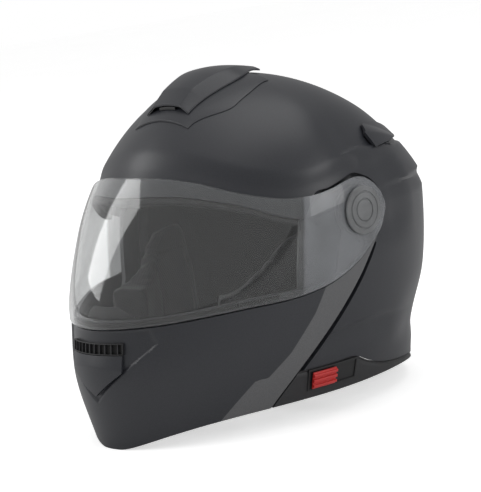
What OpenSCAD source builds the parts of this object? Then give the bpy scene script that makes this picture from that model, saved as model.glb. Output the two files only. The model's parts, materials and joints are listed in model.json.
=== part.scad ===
// Modular (flip-up) motorcycle helmet.
// +Z is up and z = 0 is the plane it stands on. The wearer looks along -Y and the wearer's left is +X.
// Every curved panel is a patch of one body surface, given by an angle a and a height z.
// a is 0 at the front, 90 at the wearer's left and 180 at the back. A depth is measured inwards from that surface.

/* [Body surface] */
// Half width of the body at its widest height
half_width = 126; // [124:0.5:128]
// Height of the widest slice and of the visor pivots
waist_z = 150; // [149:0.5:151]
// Height of the crown
crown_z = 256; // [254:0.5:258]
// Reach of the chin forward of the origin
nose_reach = 156; // [154:0.5:158]
// Reach of the body behind the origin
tail_reach = 156; // [154:0.5:158]
// Rise of the bottom rim at the sides above the rest plane
rim_rise = 18; // [16:0.5:20]

/* [Walls] */
// Wall of the outer shell
shell_wall = 3.5; // [3:0.1:4]
// Wall of the chin bar shell
chin_wall = 3; // [2.5:0.1:3.4]
// Wall of the clear visor
visor_wall = 2.2; // [2:0.1:2.4]
// Depth of the impact liner's inner face
liner_depth = 36; // [34:0.5:38]
// Depth of the recess that the chin bar and the visor lie in
recess_depth = 12; // [11.5:0.1:12.5]

/* [Pivot] */
// Distance of the pivot axis behind the origin
pivot_back = 8; // [7:0.5:9]
// Radius of the pivot axle
axle_r = 5.5; // [5:0.1:6]
// Radius of the round pivot cap
cap_r = 18; // [16:0.5:18]

/* [Hidden] */
$fn = 48;

shell_grey = [0.19, 0.2, 0.23];
trim_black = [0.06, 0.06, 0.065];
foam_grey = [0.2, 0.2, 0.21];
fabric_grey = [0.14, 0.14, 0.15];
clear_grey = [0.75, 0.78, 0.8, 0.35];
steel = [0.62, 0.63, 0.65];
signal_red = [0.75, 0.12, 0.1];

slice_mid = -5;      // forward coordinate of every slice's middle
stand_back = 3.7;    // the whole drawing is moved back by this, so that the origin is below the middle of its box
chin_top_z = 98;     // height at which the front starts to lean back
gap = 0.4;           // working gap between neighbouring pieces
pivot = [pivot_back, waist_z];
port_a = 71;         // angle of the eye port's rear edge
lobe_r = 27.5;       // radius of the recess round the pivot
circle_top = waist_z + lobe_r;

// Profiles: pairs of position and value, joined by a smooth curve
front_low = [[0, 153.5], [50, nose_reach + 5.5], [chin_top_z, nose_reach], [120, nose_reach]];
back_low = [[0, -131], [30, -126], [90, -142], [waist_z, -tail_reach], [180, -tail_reach]];
width_low = [[0, 96], [60, 116], [waist_z, half_width], [200, half_width]];
brow_low = [[0, 181], [16, 181], [32, 179], [42, 174.5], [52, 168.5], [64, 157], [port_a, 152]];
visor_low = [[0, 90], [30, 91.5], [53, 95], [72, 98], [78.5, 101.5], [85, 108.5], [91, 117.5],
    [96, 127], [99.5, 137], [101, 147]];
visor_high = [[0, 193], [16, 192.5], [26, 190.5], [39, 185], [46, 180], [55, 174], [67, 168.4],
    [74, 168], [81.5, 170.5], [88, 173.8], [92, 174.2], [96, 171], [99, 164], [100.6, 156], [101, 151]];
trim_top = [[55, 41], [80, 41], [87, 41], [94, 34], [130, 20], [180, 9]];

function lerp(p, q, t) = p + (q - p) * t;
function ease(p, q, x) = let (t = min(1, max(0, (x - p) / (q - p)))) t * t * (3 - 2 * t);
function place(k, x, i = 0) = (i >= len(k) - 2 || x < k[i + 1][0]) ? i : place(k, x, i + 1);
function rise(k, i) = (k[i + 1][1] - k[i][1]) / (k[i + 1][0] - k[i][0]);
function slope(k, i) =
    i == 0 ? rise(k, 0)
    : i == len(k) - 1 ? rise(k, i - 1)
    : let (p = k[i][0] - k[i - 1][0], q = k[i + 1][0] - k[i][0])
        (rise(k, i - 1) * q + rise(k, i) * p) / (p + q);
// Smooth curve through the knots k, with a slope at each knot from its two neighbours
function curve(k, v) =
    let (x = min(max(v, k[0][0]), k[len(k) - 1][0]), i = place(k, x), h = k[i + 1][0] - k[i][0],
        t = (x - k[i][0]) / h, u = t * t, w = u * t)
    (2 * w - 3 * u + 1) * k[i][1] + (w - 2 * u + t) * h * slope(k, i)
    + (3 * u - 2 * w) * k[i + 1][1] + (w - u) * h * slope(k, i + 1);

// Half width, forward reach and rear reach of the slice at height z
function wide(z) = z < waist_z ? curve(width_low, z)
    : half_width * sqrt(max(0, 1 - pow((z - waist_z) / (crown_z - waist_z), 2)));
function fore(z) = z < chin_top_z ? curve(front_low, z)
    : slice_mid + (nose_reach - slice_mid)
        * pow(max(0, 1 - pow((z - chin_top_z) / (crown_z - chin_top_z), 1.38)), 0.55);
function aft(z) = z < waist_z ? curve(back_low, z)
    : slice_mid - (slice_mid + tail_reach)
        * pow(max(0, 1 - pow((z - waist_z) / (crown_z - waist_z), 1.17)), 0.55);
// How much the front of a slice narrows
function narrow(z) = 0.13 + 0.1 * ease(40, waist_z, z) + 0.05 * ease(waist_z, 220, z);
function on_body(a, z) =
    let (c = cos(a), s = sin(a), reach = c >= 0 ? fore(z) - slice_mid : slice_mid - aft(z))
    [wide(z) * s * (1 - narrow(z) * pow(max(c, 0), 2) + 0.17 * pow(max(-c, 0), 2)),
        -(slice_mid + reach * c), z];
// Outward direction, level at the bottom rim so that every edge there is flat
function out_dir(a, z) =
    let (h = min(z, crown_z - 1.5), n = cross(on_body(a + 1, h) - on_body(a - 1, h),
        on_body(a, h + 0.5) - on_body(a, h - 0.5)), u = n / norm(n),
        v = [u.x, u.y, u.z * ease(0, 30, z - rim(a))])
    v / norm(v);
// The point at angle a, height z and depth d
function at(a, z, d) = on_body(a, z) - d * out_dir(a, z);
function rim(a) = rim_rise * pow(ease(0.1, 1, abs(sin(a))), 0.8);
// Angle of the chin bar's rear edge, and of the recess's rear edge round the pivot
function chin_rear(z) = 63 + 0.317 * (z - 20);
function lobe_rear(z) =
    let (f = -pivot_back - sqrt(max(0, lobe_r * lobe_r - pow(z - waist_z, 2))))
    90 + asin((slice_mid - f) / (slice_mid - aft(z)));
function recess_rear(z) = z < 124 ? chin_rear(z) + 0.7 : lobe_rear(z);
function shell_front(z) = min(port_a, port_a - 0.2 * (100 - z));

module set_back() translate([0, stand_back, 0]) children();
// A closed slab between the outer grid g and the inner grid h, both g[column][row].
// wrap joins the last column to the first. tip closes the last row with a pair of apex points.
module slab(g, h, wrap = false, tip = []) {
    cols = len(g);
    rows = len(g[0]);
    n = cols * rows;
    last = wrap ? cols - 1 : cols - 2;
    top = rows - 1;
    function id(i, j) = (i % cols) * rows + j;
    skin = [for (i = [0 : last], j = [0 : rows - 2]) each [
        [id(i, j), id(i + 1, j + 1), id(i + 1, j)], [id(i, j), id(i, j + 1), id(i + 1, j + 1)],
        [n + id(i, j), n + id(i + 1, j), n + id(i + 1, j + 1)],
        [n + id(i, j), n + id(i + 1, j + 1), n + id(i, j + 1)]]];
    low = [for (i = [0 : last]) each [[id(i, 0), id(i + 1, 0), n + id(i + 1, 0)],
        [id(i, 0), n + id(i + 1, 0), n + id(i, 0)]]];
    high = len(tip) == 2
        ? [for (i = [0 : last]) each [[id(i + 1, top), id(i, top), 2 * n],
            [n + id(i, top), n + id(i + 1, top), 2 * n + 1]]]
        : [for (i = [0 : last]) each [[id(i + 1, top), id(i, top), n + id(i, top)],
            [id(i + 1, top), n + id(i, top), n + id(i + 1, top)]]];
    ends = wrap ? [] : [for (j = [0 : rows - 2]) each [
        [id(0, j + 1), id(0, j), n + id(0, j)], [id(0, j + 1), n + id(0, j), n + id(0, j + 1)],
        [id(cols - 1, j), id(cols - 1, j + 1), n + id(cols - 1, j + 1)],
        [id(cols - 1, j), n + id(cols - 1, j + 1), n + id(cols - 1, j)]]];
    set_back() polyhedron(points = concat([for (r = g) each r], [for (r = h) each r], tip),
        faces = concat(skin, low, high, ends));
}

// A dome with a skirt that leaves its front open: grids go[column][row] and gi close at the tip,
// and the skirt's grids so and si hang from the dome's lowest row, from column first on.
module dome_skirt(go, gi, so, si, first, tip) {
    cols = len(go);
    rows = len(go[0]);
    n = cols * rows;
    wide_s = len(so);
    deep = len(so[0]);
    m = wide_s * deep;
    base = 2 * n;
    apex = base + 2 * m;
    function up(i, j, s) = s * n + (i % cols) * rows + j;
    function dn(i, j, s) = j == deep ? up(first + i, 0, s) : base + s * m + i * deep + j;
    dome = [for (i = [0 : cols - 1], j = [0 : rows - 2]) each [
        [up(i, j, 0), up(i + 1, j + 1, 0), up(i + 1, j, 0)],
        [up(i, j, 0), up(i, j + 1, 0), up(i + 1, j + 1, 0)],
        [up(i, j, 1), up(i + 1, j, 1), up(i + 1, j + 1, 1)],
        [up(i, j, 1), up(i + 1, j + 1, 1), up(i, j + 1, 1)]]];
    cap = [for (i = [0 : cols - 1]) each [[up(i + 1, rows - 1, 0), up(i, rows - 1, 0), apex],
        [up(i, rows - 1, 1), up(i + 1, rows - 1, 1), apex + 1]]];
    brow = [for (i = [0 : cols - 1]) if (i < first || i >= first + wide_s - 1) each [
        [up(i, 0, 0), up(i + 1, 0, 0), up(i + 1, 0, 1)], [up(i, 0, 0), up(i + 1, 0, 1), up(i, 0, 1)]]];
    skirt = [for (i = [0 : wide_s - 2], j = [0 : deep - 1]) each [
        [dn(i, j, 0), dn(i + 1, j + 1, 0), dn(i + 1, j, 0)],
        [dn(i, j, 0), dn(i, j + 1, 0), dn(i + 1, j + 1, 0)],
        [dn(i, j, 1), dn(i + 1, j, 1), dn(i + 1, j + 1, 1)],
        [dn(i, j, 1), dn(i + 1, j + 1, 1), dn(i, j + 1, 1)]]];
    hem = [for (i = [0 : wide_s - 2]) each [[dn(i, 0, 0), dn(i + 1, 0, 0), dn(i + 1, 0, 1)],
        [dn(i, 0, 0), dn(i + 1, 0, 1), dn(i, 0, 1)]]];
    w = wide_s - 1;
    ends = [for (j = [0 : deep - 1]) each [
        [dn(0, j + 1, 0), dn(0, j, 0), dn(0, j, 1)], [dn(0, j + 1, 0), dn(0, j, 1), dn(0, j + 1, 1)],
        [dn(w, j, 0), dn(w, j + 1, 0), dn(w, j + 1, 1)], [dn(w, j, 0), dn(w, j + 1, 1), dn(w, j, 1)]]];
    set_back() polyhedron(points = concat([for (r = go) each r], [for (r = gi) each r], [for (r = so) each r],
        [for (r = si) each r], tip), faces = concat(dome, cap, brow, skirt, hem, ends));
}

// A patch between angles a0 and a1, heights from low to high, and depths from near to far.
// low, high, near and far are functions of the angle, or of the angle and the height.
function steps(p, q, n) = [for (i = [0 : n]) lerp(p, q, i / n)];
module patch(a0, a1, low, high, near, far, cols = 16, rows = 5) {
    angles = steps(a0, a1, cols);
    slab([for (a = angles) [for (t = steps(0, 1, rows)) let (z = lerp(low(a), high(a), t))
            at(a, z, near(a, z))]],
        [for (a = angles) [for (t = steps(0, 1, rows)) let (z = lerp(low(a), high(a), t))
            at(a, z, far(a, z))]]);
}

// Draws its children on the wearer's left, or mirrored on the right
module on_side(s) mirror([s < 0 ? 1 : 0, 0, 0]) set_back() children();
// Extrudes a drawing of the side view, given in y and z, from x0 to x1
module side_plate(x0, x1) translate([x0, 0, 0]) rotate([90, 0, 90]) linear_extrude(x1 - x0) children();
module pivot_disc(x0, x1, r) translate([x0, pivot.x, pivot.y]) rotate([0, 90, 0]) cylinder(h = x1 - x0, r = r);

// Outer shell: the dome's columns, their lowest heights, and the skirt from the port's rear edge back
port_cols = 12;
side_a = [75, 80.5, 86, 91, 93.5];
side_z = [169, 171.5, 174.8, circle_top + 0.5, circle_top + 0.5];
back_cols = 14;
half_a = concat(steps(0, port_a, port_cols), side_a, [for (i = [1 : back_cols]) lerp(93.5, 180, i / back_cols)]);
half_cols = len(half_a) - 1;
function half_low(i) = i <= port_cols ? curve(brow_low, half_a[i])
    : i <= port_cols + 5 ? side_z[i - port_cols - 1] : circle_top + 0.5;
function fold(c) = c <= half_cols ? c : 2 * half_cols - c;
function turn(c) = c <= half_cols ? 1 : -1;
// Depth of the shell's outer face: set back under the visor's upper edge and beside the pivot
function brow_depth(a, z) =
    let (b = abs(a), v = curve(visor_high, min(b, 96)))
    lerp(2.2, 3.2, ease(45, 68, b)) * (1 - ease(v + 5, v + 19, z)) * (1 - ease(106, 120, b)) * ease(112, 140, z);
function dome_z(i, k, rows) = lerp(half_low(i), crown_z, sin(90 * k / (rows + 1)));
dome_rows = 9;
skirt_t = [0, 0.14, 0.28, 0.42, 0.56, 0.7, 0.84, 0.985];
function skirt_a(q, z) =
    q <= 4 ? lerp(shell_front(z), recess_rear(z), q / 4)
    : lerp(recess_rear(z) + 0.6, 180, (q - 5) / back_cols);
// Height at which a column of the skirt meets the rim's trim
function skirt_low(q, z = 41, n = 6) = n == 0 ? z : skirt_low(q, curve(trim_top, skirt_a(q, z)) + gap, n - 1);
module outer_shell() {
    cs = [0 : 2 * half_cols - 1];
    ks = [0 : dome_rows];
    function dome_at(c, k, d) =
        let (i = fold(c), a = turn(c) * half_a[i], z = dome_z(i, k, dome_rows)) at(a, z, brow_depth(a, z) + d);
    function skirt_at(c, t, d) =
        let (i = fold(c), q = i - port_cols, z = lerp(skirt_low(q), half_low(i), t))
        at(turn(c) * skirt_a(q, z), z, d + (q <= 4 ? recess_depth : brow_depth(skirt_a(q, z), z)));
    ss = [port_cols : 2 * half_cols - port_cols];
    color(shell_grey)
        dome_skirt([for (c = cs) [for (k = ks) dome_at(c, k, 0)]],
            [for (c = cs) [for (k = ks) dome_at(c, k, shell_wall)]],
            [for (c = ss) [for (t = skirt_t) skirt_at(c, t, 0)]],
            [for (c = ss) [for (t = skirt_t) skirt_at(c, t, shell_wall)]],
            port_cols, [[0, -slice_mid, crown_z], [0, -slice_mid, crown_z - shell_wall]]);
}

// Impact liner: foam that lines the dome and the sides, set back at the front for the sun visor
sun_space = 25;    // depth of the liner's face behind the sun visor
liner_a = concat(steps(0, 74, 9), steps(84, 180, 10));
liner_half = len(liner_a) - 1;
function liner_low(i) = liner_a[i] <= 74 ? curve(brow_low, liner_a[i]) + 9 : 161;
function liner_near(a, z) = lerp(5.4, sun_space,
    max(ease(25, -8, on_body(a, z).y), (1 - ease(114, 130, abs(a))) * (1 - ease(200, 230, z))));
liner_t = [0, 0.2, 0.4, 0.6, 0.8];
module impact_liner() {
    cs = [0 : 2 * liner_half - 1];
    ks = [0 : 7];
    function side(c) = c <= liner_half ? c : 2 * liner_half - c;
    function dome_at(c, k, inner) =
        let (i = side(c), a = (c <= liner_half ? 1 : -1) * liner_a[i], z = lerp(liner_low(i), crown_z, sin(90 * k / 8)))
        at(a, z, inner ? liner_depth : liner_near(a, z));
    function skirt_at(c, t, inner) =
        let (i = side(c), k = (i - 9) / (liner_half - 9), z = lerp(curve(trim_top, lerp(64, 180, k)) + 11, liner_low(i), t),
            a = (c <= liner_half ? 1 : -1) * lerp(shell_front(z) + 4, 180, k))
        at(a, z, inner ? lerp(28, liner_depth, t) : liner_near(a, z));
    ss = [9 : 2 * liner_half - 9];
    color(foam_grey)
        dome_skirt([for (c = cs) [for (k = ks) dome_at(c, k, false)]],
            [for (c = cs) [for (k = ks) dome_at(c, k, true)]],
            [for (c = ss) [for (t = liner_t) skirt_at(c, t, false)]],
            [for (c = ss) [for (t = liner_t) skirt_at(c, t, true)]],
            9, [[0, -slice_mid, crown_z - liner_near(0, crown_z)], [0, -slice_mid, crown_z - liner_depth]]);
}

// Comfort padding
module crown_pad() {
    angles = [for (i = [0 : 23]) i * 15];
    heights = [for (k = [0 : 5]) lerp(198, crown_z, sin(90 * k / 6))];
    color(fabric_grey)
        slab([for (a = angles) [for (z = heights) at(a, z, liner_depth + 0.6)]],
            [for (a = angles) [for (z = heights) at(a, z, liner_depth + 9)]], true,
            [[0, -slice_mid, crown_z - liner_depth - 0.6], [0, -slice_mid, crown_z - liner_depth - 9]]);
}
module cheek_pad(s) color(fabric_grey)
    patch(s > 0 ? 46 : -94, s > 0 ? 94 : -46, function(a) 44, function(a) lerp(108, 140, ease(50, 75, abs(a))),
        function(a, z) liner_depth + 0.8 - 16 * (1 - ease(50, 61, abs(a))),
        function(a, z) liner_depth + 12 + 7 * sin(180 * (z - 40) / 110), 8, 5);
module cheek_pad_left() cheek_pad(1);
module cheek_pad_right() cheek_pad(-1);
module neck_roll() color(fabric_grey)
    patch(112, 248, function(a) max(3, rim(a) + 2), function(a) curve(trim_top, a > 180 ? 360 - a : a) + 7,
        function(a, z) 6.5, function(a, z) 22, 20, 3);

// Rubber and plastic edges of the shell
function trim_a(u, z) = lerp(180, chin_rear(z) + 0.2, abs(u));
function trim_z(u, top, z = 20, n = 6) =
    n == 0 ? z : trim_z(u, top, top ? curve(trim_top, trim_a(u, z)) : rim(trim_a(u, z)), n - 1);
module neck_trim() {
    us = steps(-1, 1, 40);
    function trim_at(u, t, d) =
        let (z = lerp(trim_z(u, false), trim_z(u, true), t), a = trim_a(u, z)) at(u < 0 ? a : 360 - a, z, d);
    color(trim_black)
        slab([for (u = us) [for (t = steps(0, 1, 3)) trim_at(u, t, 0)]],
            [for (u = us) [for (t = steps(0, 1, 3)) trim_at(u, t, 5)]]);
}
module eye_port_seal() color(trim_black)
    patch(-69, 69, function(a) curve(brow_low, abs(a)) - 4.5, function(a) curve(brow_low, abs(a)) - 0.1,
        function(a, z) 2.6 + ease(45, 68, abs(a)), function(a, z) 7.5, 24, 2);

// Axles on which the chin bar and the visor turn
function floor_x() = half_width - recess_depth;
module pivot_axle(s) color(steel) on_side(s) {
    pivot_disc(floor_x() + 0.2, floor_x() + 1.1, 9);
    pivot_disc(floor_x() + 0.2, floor_x() + 7.4, axle_r);
}
module pivot_axle_left() pivot_axle(1);
module pivot_axle_right() pivot_axle(-1);

// Pins on the shell that the chin bar's hooks close on
latch_y = -47;
latch_z = 62;
latch_pin_r = 2.5;
module latch_pin(s) color(steel) on_side(s)
    translate([97, latch_y, latch_z]) rotate([0, 90, 0]) cylinder(h = 4, r = latch_pin_r);
module latch_pin_left() latch_pin(1);
module latch_pin_right() latch_pin(-1);

// Crown vent: base plate on the shell, scoop over it and a slider that shuts the mouth
scoop_y0 = -62;
function crown_at(x, y, lift) =
    let (r = norm([x, y - 5]), a = atan2(x, -(y - 5)), z = crown_height(a, x, y)) at(a, z, -lift);
// Height of the body above the point x, y, found by halving
function crown_height(a, x, y, lo = 150, hi = 255.9, n = 18) =
    n == 0 ? (lo + hi) / 2
    : let (mid = (lo + hi) / 2, p = on_slice(x, y, mid)) p > 1 ? crown_height(a, x, y, lo, mid, n - 1)
    : crown_height(a, x, y, mid, hi, n - 1);
function on_slice(x, y, z) =
    let (f = -y - slice_mid, reach = f >= 0 ? fore(z) - slice_mid : slice_mid - aft(z), c = min(1, abs(f) / reach),
        w = wide(z) * (f >= 0 ? 1 - narrow(z) * c * c : 1 + 0.17 * c * c))
    pow(x / w, 2) + pow(f / reach, 2);
function over(x, y, lift) = [x, y, crown_height(0, x, y) + lift];
// A slab that follows the crown, between half widths at its front and back
module crown_slab(y0, y1, half, low, high, cols = 8, rows = 8) {
    ys = steps(y0, y1, rows);
    slab([for (t = steps(-1, 1, cols)) [for (y = ys) over(t * half(y), y, high(t, y))]],
        [for (t = steps(-1, 1, cols)) [for (y = ys) over(t * half(y), y, low(t, y))]]);
}
function scoop_half(y) = 24 + 8 * ease(-58, -10, y) - 12 * ease(-10, 22, y);
module top_vent_base() color(shell_grey)
    crown_slab(-66, 6, function(y) 31 + 20 * ease(-66, -34, y) - 4 * ease(-20, 6, y),
        function(t, y) 0.5, function(t, y) 1.6 - pow(abs(t), 6));
module top_vent_scoop() color(shell_grey)
    crown_slab(scoop_y0 + 4, 24, function(y) scoop_half(y),
        function(t, y) 2 + 4.2 * (1 - ease(-58, -20, y)) * (1 - pow(t, 4)),
        function(t, y) 3.4 + 6.4 * (1 - pow(t, 4)) * (1 - 0.75 * ease(-20, 24, y)));
module top_vent_slider() color(trim_black)
    crown_slab(scoop_y0 + 4.6, scoop_y0 + 10, function(y) 9, function(t, y) 2.2, function(t, y) 4.4, 4, 3);
module rear_vent(s) color(shell_grey)
    patch(s > 0 ? 108 : -146, s > 0 ? 146 : -108, function(a) 190, function(a) 208,
        function(a, z) -0.4 - 3.6 * sin(180 * max(0, min(1, (abs(a) - 108) / 38))) * ease(209, 196, z),
        function(a, z) -0.1, 8, 4);
module rear_vent_left() rear_vent(1);
module rear_vent_right() rear_vent(-1);

// Sun visor: a segment of a surface turned about its own pivots, worked by a slider in the rim
sun_axis = [-15, 162];
sun_half = 105;
sun_r = 79;
sun_wall = 1.8;
function sun_arc(r, h, n = 28) = [for (x = steps(-h, h, n)) [r * pow(1 - pow(x / (h + 3.5), 2), 0.6), x]];
module about_x(axis, x = 0) translate([x, axis.x, axis.y]) rotate([0, 90, 0]) children();
module sun_visor() {
    outer = sun_arc(sun_r, sun_half);
    inner = sun_arc(sun_r - sun_wall, sun_half - sun_wall);
    color(trim_black) set_back() about_x(sun_axis) difference() {
        union() {
            rotate([0, 0, -118]) rotate_extrude(angle = -56, $fn = 64)
                polygon(concat([[0, -sun_half]], outer, [[0, sun_half], [0, sun_half - sun_wall]],
                    [for (i = [len(inner) - 1 : -1 : 0]) inner[i]], [[0, sun_wall - sun_half]]));
            for (x = [-sun_half, sun_half - sun_wall]) translate([0, 0, x]) cylinder(h = sun_wall, r = 7);
        }
        cylinder(h = 2 * sun_half + 4, r = 3.06, center = true);
    }
}
module sun_visor_pin(s) color(steel) on_side(s) about_x(sun_axis, sun_half - 4) cylinder(h = 4.6, r = 3);
module sun_visor_pin_left() sun_visor_pin(1);
module sun_visor_pin_right() sun_visor_pin(-1);
module slider_rail() color(trim_black)
    patch(72.5, 88.5, function(a) 24, function(a) 40.6, function(a, z) -0.9, function(a, z) -0.05, 5, 2);
module sun_visor_slider() color(signal_red)
    patch(73.6, 80.8, function(a) 25.5, function(a) 38.6, function(a, z) -4.4, function(a, z) -1.8, 3, 2);

// Chin strap with its ratchet buckle
strap_y0 = -30;
strap_w = 20;
strap_line = [[97, 42], [90, 33], [74, 22], [54, 13.5], [38, 10]];
module across_y(y0, w) translate([0, y0 + w, 0]) rotate([90, 0, 0]) linear_extrude(w) children();
module strap(s) color(fabric_grey) on_side(s) across_y(strap_y0, strap_w)
    polygon(concat([for (p = strap_line) [p.x, p.y - 1]],
        [for (i = [len(strap_line) - 1 : -1 : 0]) [strap_line[i].x, strap_line[i].y + 1]]));
module strap_left() strap(1);
module strap_right() strap(-1);
module strap_anchor(s) color(steel)
    patch(s > 0 ? 75 : -85, s > 0 ? 85 : -75, function(a) 43.4, function(a) 48.4,
        function(a, z) 4.7, function(a, z) 6.7, 3, 1);
module strap_anchor_left() strap_anchor(1);
module strap_anchor_right() strap_anchor(-1);
tongue_z = 9.2;
module ratchet_tongue() color(trim_black) set_back() {
    translate([-37.6, strap_y0 + 3, tongue_z]) cube([60, strap_w - 6, 1.6]);
    for (x = [-6 : 3 : 18]) translate([x, strap_y0 + 5, tongue_z + 1.6]) cube([1.4, strap_w - 10, 0.7]);
}
buckle_hinge = [34, 13.6];
module buckle_body() color(steel) set_back() {
    translate([10, strap_y0 - 1, 6.6]) cube([27.6, strap_w + 2, 1.4]);
    for (y = [strap_y0 - 1, strap_y0 + strap_w - 0.6]) translate([10, y, 8]) cube([27.6, 1.6, 7.6]);
    translate([buckle_hinge.x, strap_y0 + 0.6, buckle_hinge.y]) rotate([-90, 0, 0])
        cylinder(h = strap_w - 1.2, r = 1);
}
module buckle_lever() color(signal_red) set_back() difference() {
    union() {
        translate([6, strap_y0 + 1.2, 12.8]) cube([buckle_hinge.x - 6, strap_w - 2.4, 1.6]);
        translate([buckle_hinge.x, strap_y0 + 1.2, buckle_hinge.y]) rotate([-90, 0, 0])
            cylinder(h = strap_w - 2.4, r = 2.2);
    }
    translate([buckle_hinge.x, strap_y0, buckle_hinge.y]) rotate([-90, 0, 0]) cylinder(h = strap_w, r = 1.06);
}

// Chin bar: its shell, with a set-back top edge that the visor closes over
chin_t = [0, 0.12, 0.3, 0.5, 0.7, 0.87, 1];
function chin_a(s, z) = s * (chin_rear(z) - 0.3);
function chin_top(s, z = 95, n = 6) = n == 0 ? z : chin_top(s, curve(visor_low, abs(chin_a(s, z))), n - 1);
module chin_bar_shell() {
    ss = steps(-1, 1, 36);
    function chin_col(s, d) =
        let (lip = lerp(3.5, 2, ease(0.8, 0.93, abs(s))), low = rim(chin_a(s, 12)), top = chin_top(s), tall = lerp(7, 2.4, ease(0.7, 0.95, abs(s))))
        concat([for (t = chin_t) let (z = lerp(low, top, t)) at(chin_a(s, z), z, d)],
            [for (h = [0.5, tall]) at(chin_a(s, top + h), top + h, d + lip)]);
    color(shell_grey) slab([for (s = ss) chin_col(s, 0)], [for (s = ss) chin_col(s, chin_wall)]);
}
module chin_bar_liner() color(foam_grey)
    patch(-38, 38, function(a) rim(a) + 9, function(a) 76,
        function(a, z) chin_wall + 0.6 + 6 * (1 - ease(17, 22, abs(a))), function(a, z) 20, 16, 4);
module chin_bar_trim() color(trim_black)
    patch(-58, 58, function(a) rim(a), function(a) rim(a) + 4,
        function(a, z) chin_wall + 0.05, function(a, z) 6, 24, 1);
module chin_hinge_arm(s) color(trim_black) on_side(s) difference() {
    union() {
        side_plate(floor_x() + 1.2, floor_x() + 2.7) union() {
            translate(pivot) circle(r = 19);
            translate([-13, 101]) circle(r = 6.5);
            polygon([[17.2, 146.1], [-7, 98.4], [-19, 103.6], [-1.2, 153.9]]);
        }
        pivot_disc(floor_x() + 2.7, floor_x() + 4.4, 12);
    }
    pivot_disc(floor_x(), floor_x() + 6, axle_r + 0.06);
}
module chin_hinge_arm_left() chin_hinge_arm(1);
module chin_hinge_arm_right() chin_hinge_arm(-1);
module arm_rivets() color(steel) for (s = [-1, 1], p = [[-13, 101], [-6, 116]]) on_side(s)
    translate([floor_x() - 0.2, p.x, p.y]) rotate([0, 90, 0]) cylinder(h = 1.4, r = 2.6);
module chin_vent_frame() color(trim_black)
    patch(-16, 16, function(a) 73, function(a) 81.4, function(a, z) -0.9, function(a, z) -0.15, 8, 2);
module chin_vent_cover() color(shell_grey)
    patch(-15.5, 15.5, function(a) 42 + 18 * abs(a) / 15.5, function(a) 72.6,
        function(a, z) -1.3 - 0.9 * ease(45, 70, z), function(a, z) -0.15, 8, 5);
module chin_vent_shutter() color(trim_black)
    patch(-13, 13, function(a) 58, function(a) 68, function(a, z) 4.4, function(a, z) 6.2, 6, 2);
module breath_deflector() color(trim_black)
    patch(-32, 32, function(a) 76.3, function(a) lerp(108, 84, ease(8, 32, abs(a))),
        function(a, z) 12, function(a, z) 13.8, 12, 3);
module chin_curtain() {
    function sheet(a, d, h) = let (p = at(a, 5, d)) [p.x, p.y, 6.5 + rim(a) * 0.75 + h];
    color(fabric_grey)
        slab([for (a = steps(-50, 50, 16)) [for (d = [50, 40, 31]) sheet(a, d, 0)]],
            [for (a = steps(-50, 50, 16)) [for (d = [50, 40, 31]) sheet(a, d, 2)]]);
}
module latch_hook(s) color(steel) on_side(s) side_plate(95.6, 97.8) union() {
    translate([-54, 48]) square([6, 4]);
    translate([-51, 51.9]) square([4, 2.6]);
}
module latch_hook_left() latch_hook(1);
module latch_hook_right() latch_hook(-1);
module release_button() color(signal_red) set_back() {
    translate([-14, -146, 5]) cube([28, 17, 2.4]);
    for (y = [-142 : 3 : -133]) translate([-11, y, 4.2]) cube([22, 1.2, 0.9]);
}
module visor_plate(s) color(trim_black) on_side(s) difference() {
    union() {
        pivot_disc(floor_x() + 4.5, floor_x() + 6.9, 18);
        pivot_disc(floor_x() + 4.5, floor_x() + 10.1, 9);
    }
    pivot_disc(floor_x(), floor_x() + 11, axle_r + 0.06);
}
module visor_plate_left() visor_plate(1);
module visor_plate_right() visor_plate(-1);

// Clear visor, its gasket and its pivot caps
visor_out = 1;
visor_a = concat(steps(0, 72, 12), [76, 80, 84, 88, 91, 94, 96.5, 98.5, 100, 101]);
module visor() {
    n = len(visor_a) - 1;
    function visor_col(a, d) = [for (t = steps(0, 1, 6)) let (b = abs(a),
        z = lerp(curve(visor_low, b) + 1.3, curve(visor_high, b), t)) at(a, z, d)];
    as = concat([for (i = [n : -1 : 1]) -visor_a[i]], visor_a);
    color(clear_grey) slab([for (a = as) visor_col(a, -visor_out)], [for (a = as) visor_col(a, visor_wall - visor_out)]);
}
module visor_seal() color(trim_black)
    patch(-64, 64, function(a) curve(visor_low, abs(a)) + 2.4, function(a) curve(visor_low, abs(a)) + 5.4,
        function(a, z) 1.7, function(a, z) 3.3, 20, 1);
module pivot_cap(s) color(clear_grey) on_side(s) about_x(pivot, half_width + visor_out + 0.3)
    rotate_extrude() polygon([[0, 0], [cap_r, 0], [cap_r, 0.7], [cap_r - 0.6, 1.3], [14.4, 1.3], [14, 0.8],
        [13, 0.8], [12.6, 1.7], [9, 1.7], [8.6, 0.9], [8, 0.9], [7.4, 1.6], [0, 1.6]]);
module pivot_cap_left() pivot_cap(1);
module pivot_cap_right() pivot_cap(-1);

outer_shell();
impact_liner();
crown_pad();
cheek_pad_left();
cheek_pad_right();
neck_roll();
neck_trim();
eye_port_seal();
pivot_axle_left();
pivot_axle_right();
latch_pin_left();
latch_pin_right();
top_vent_base();
top_vent_scoop();
top_vent_slider();
rear_vent_left();
rear_vent_right();
slider_rail();
sun_visor_slider();
sun_visor();
sun_visor_pin_left();
sun_visor_pin_right();
strap_anchor_left();
strap_anchor_right();
strap_left();
strap_right();
ratchet_tongue();
buckle_body();
buckle_lever();
chin_bar_shell();
chin_bar_liner();
chin_bar_trim();
chin_hinge_arm_left();
chin_hinge_arm_right();
arm_rivets();
chin_vent_frame();
chin_vent_cover();
chin_vent_shutter();
breath_deflector();
chin_curtain();
latch_hook_left();
latch_hook_right();
release_button();
visor_plate_left();
visor_plate_right();
visor();
visor_seal();
pivot_cap_left();
pivot_cap_right();
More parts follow.
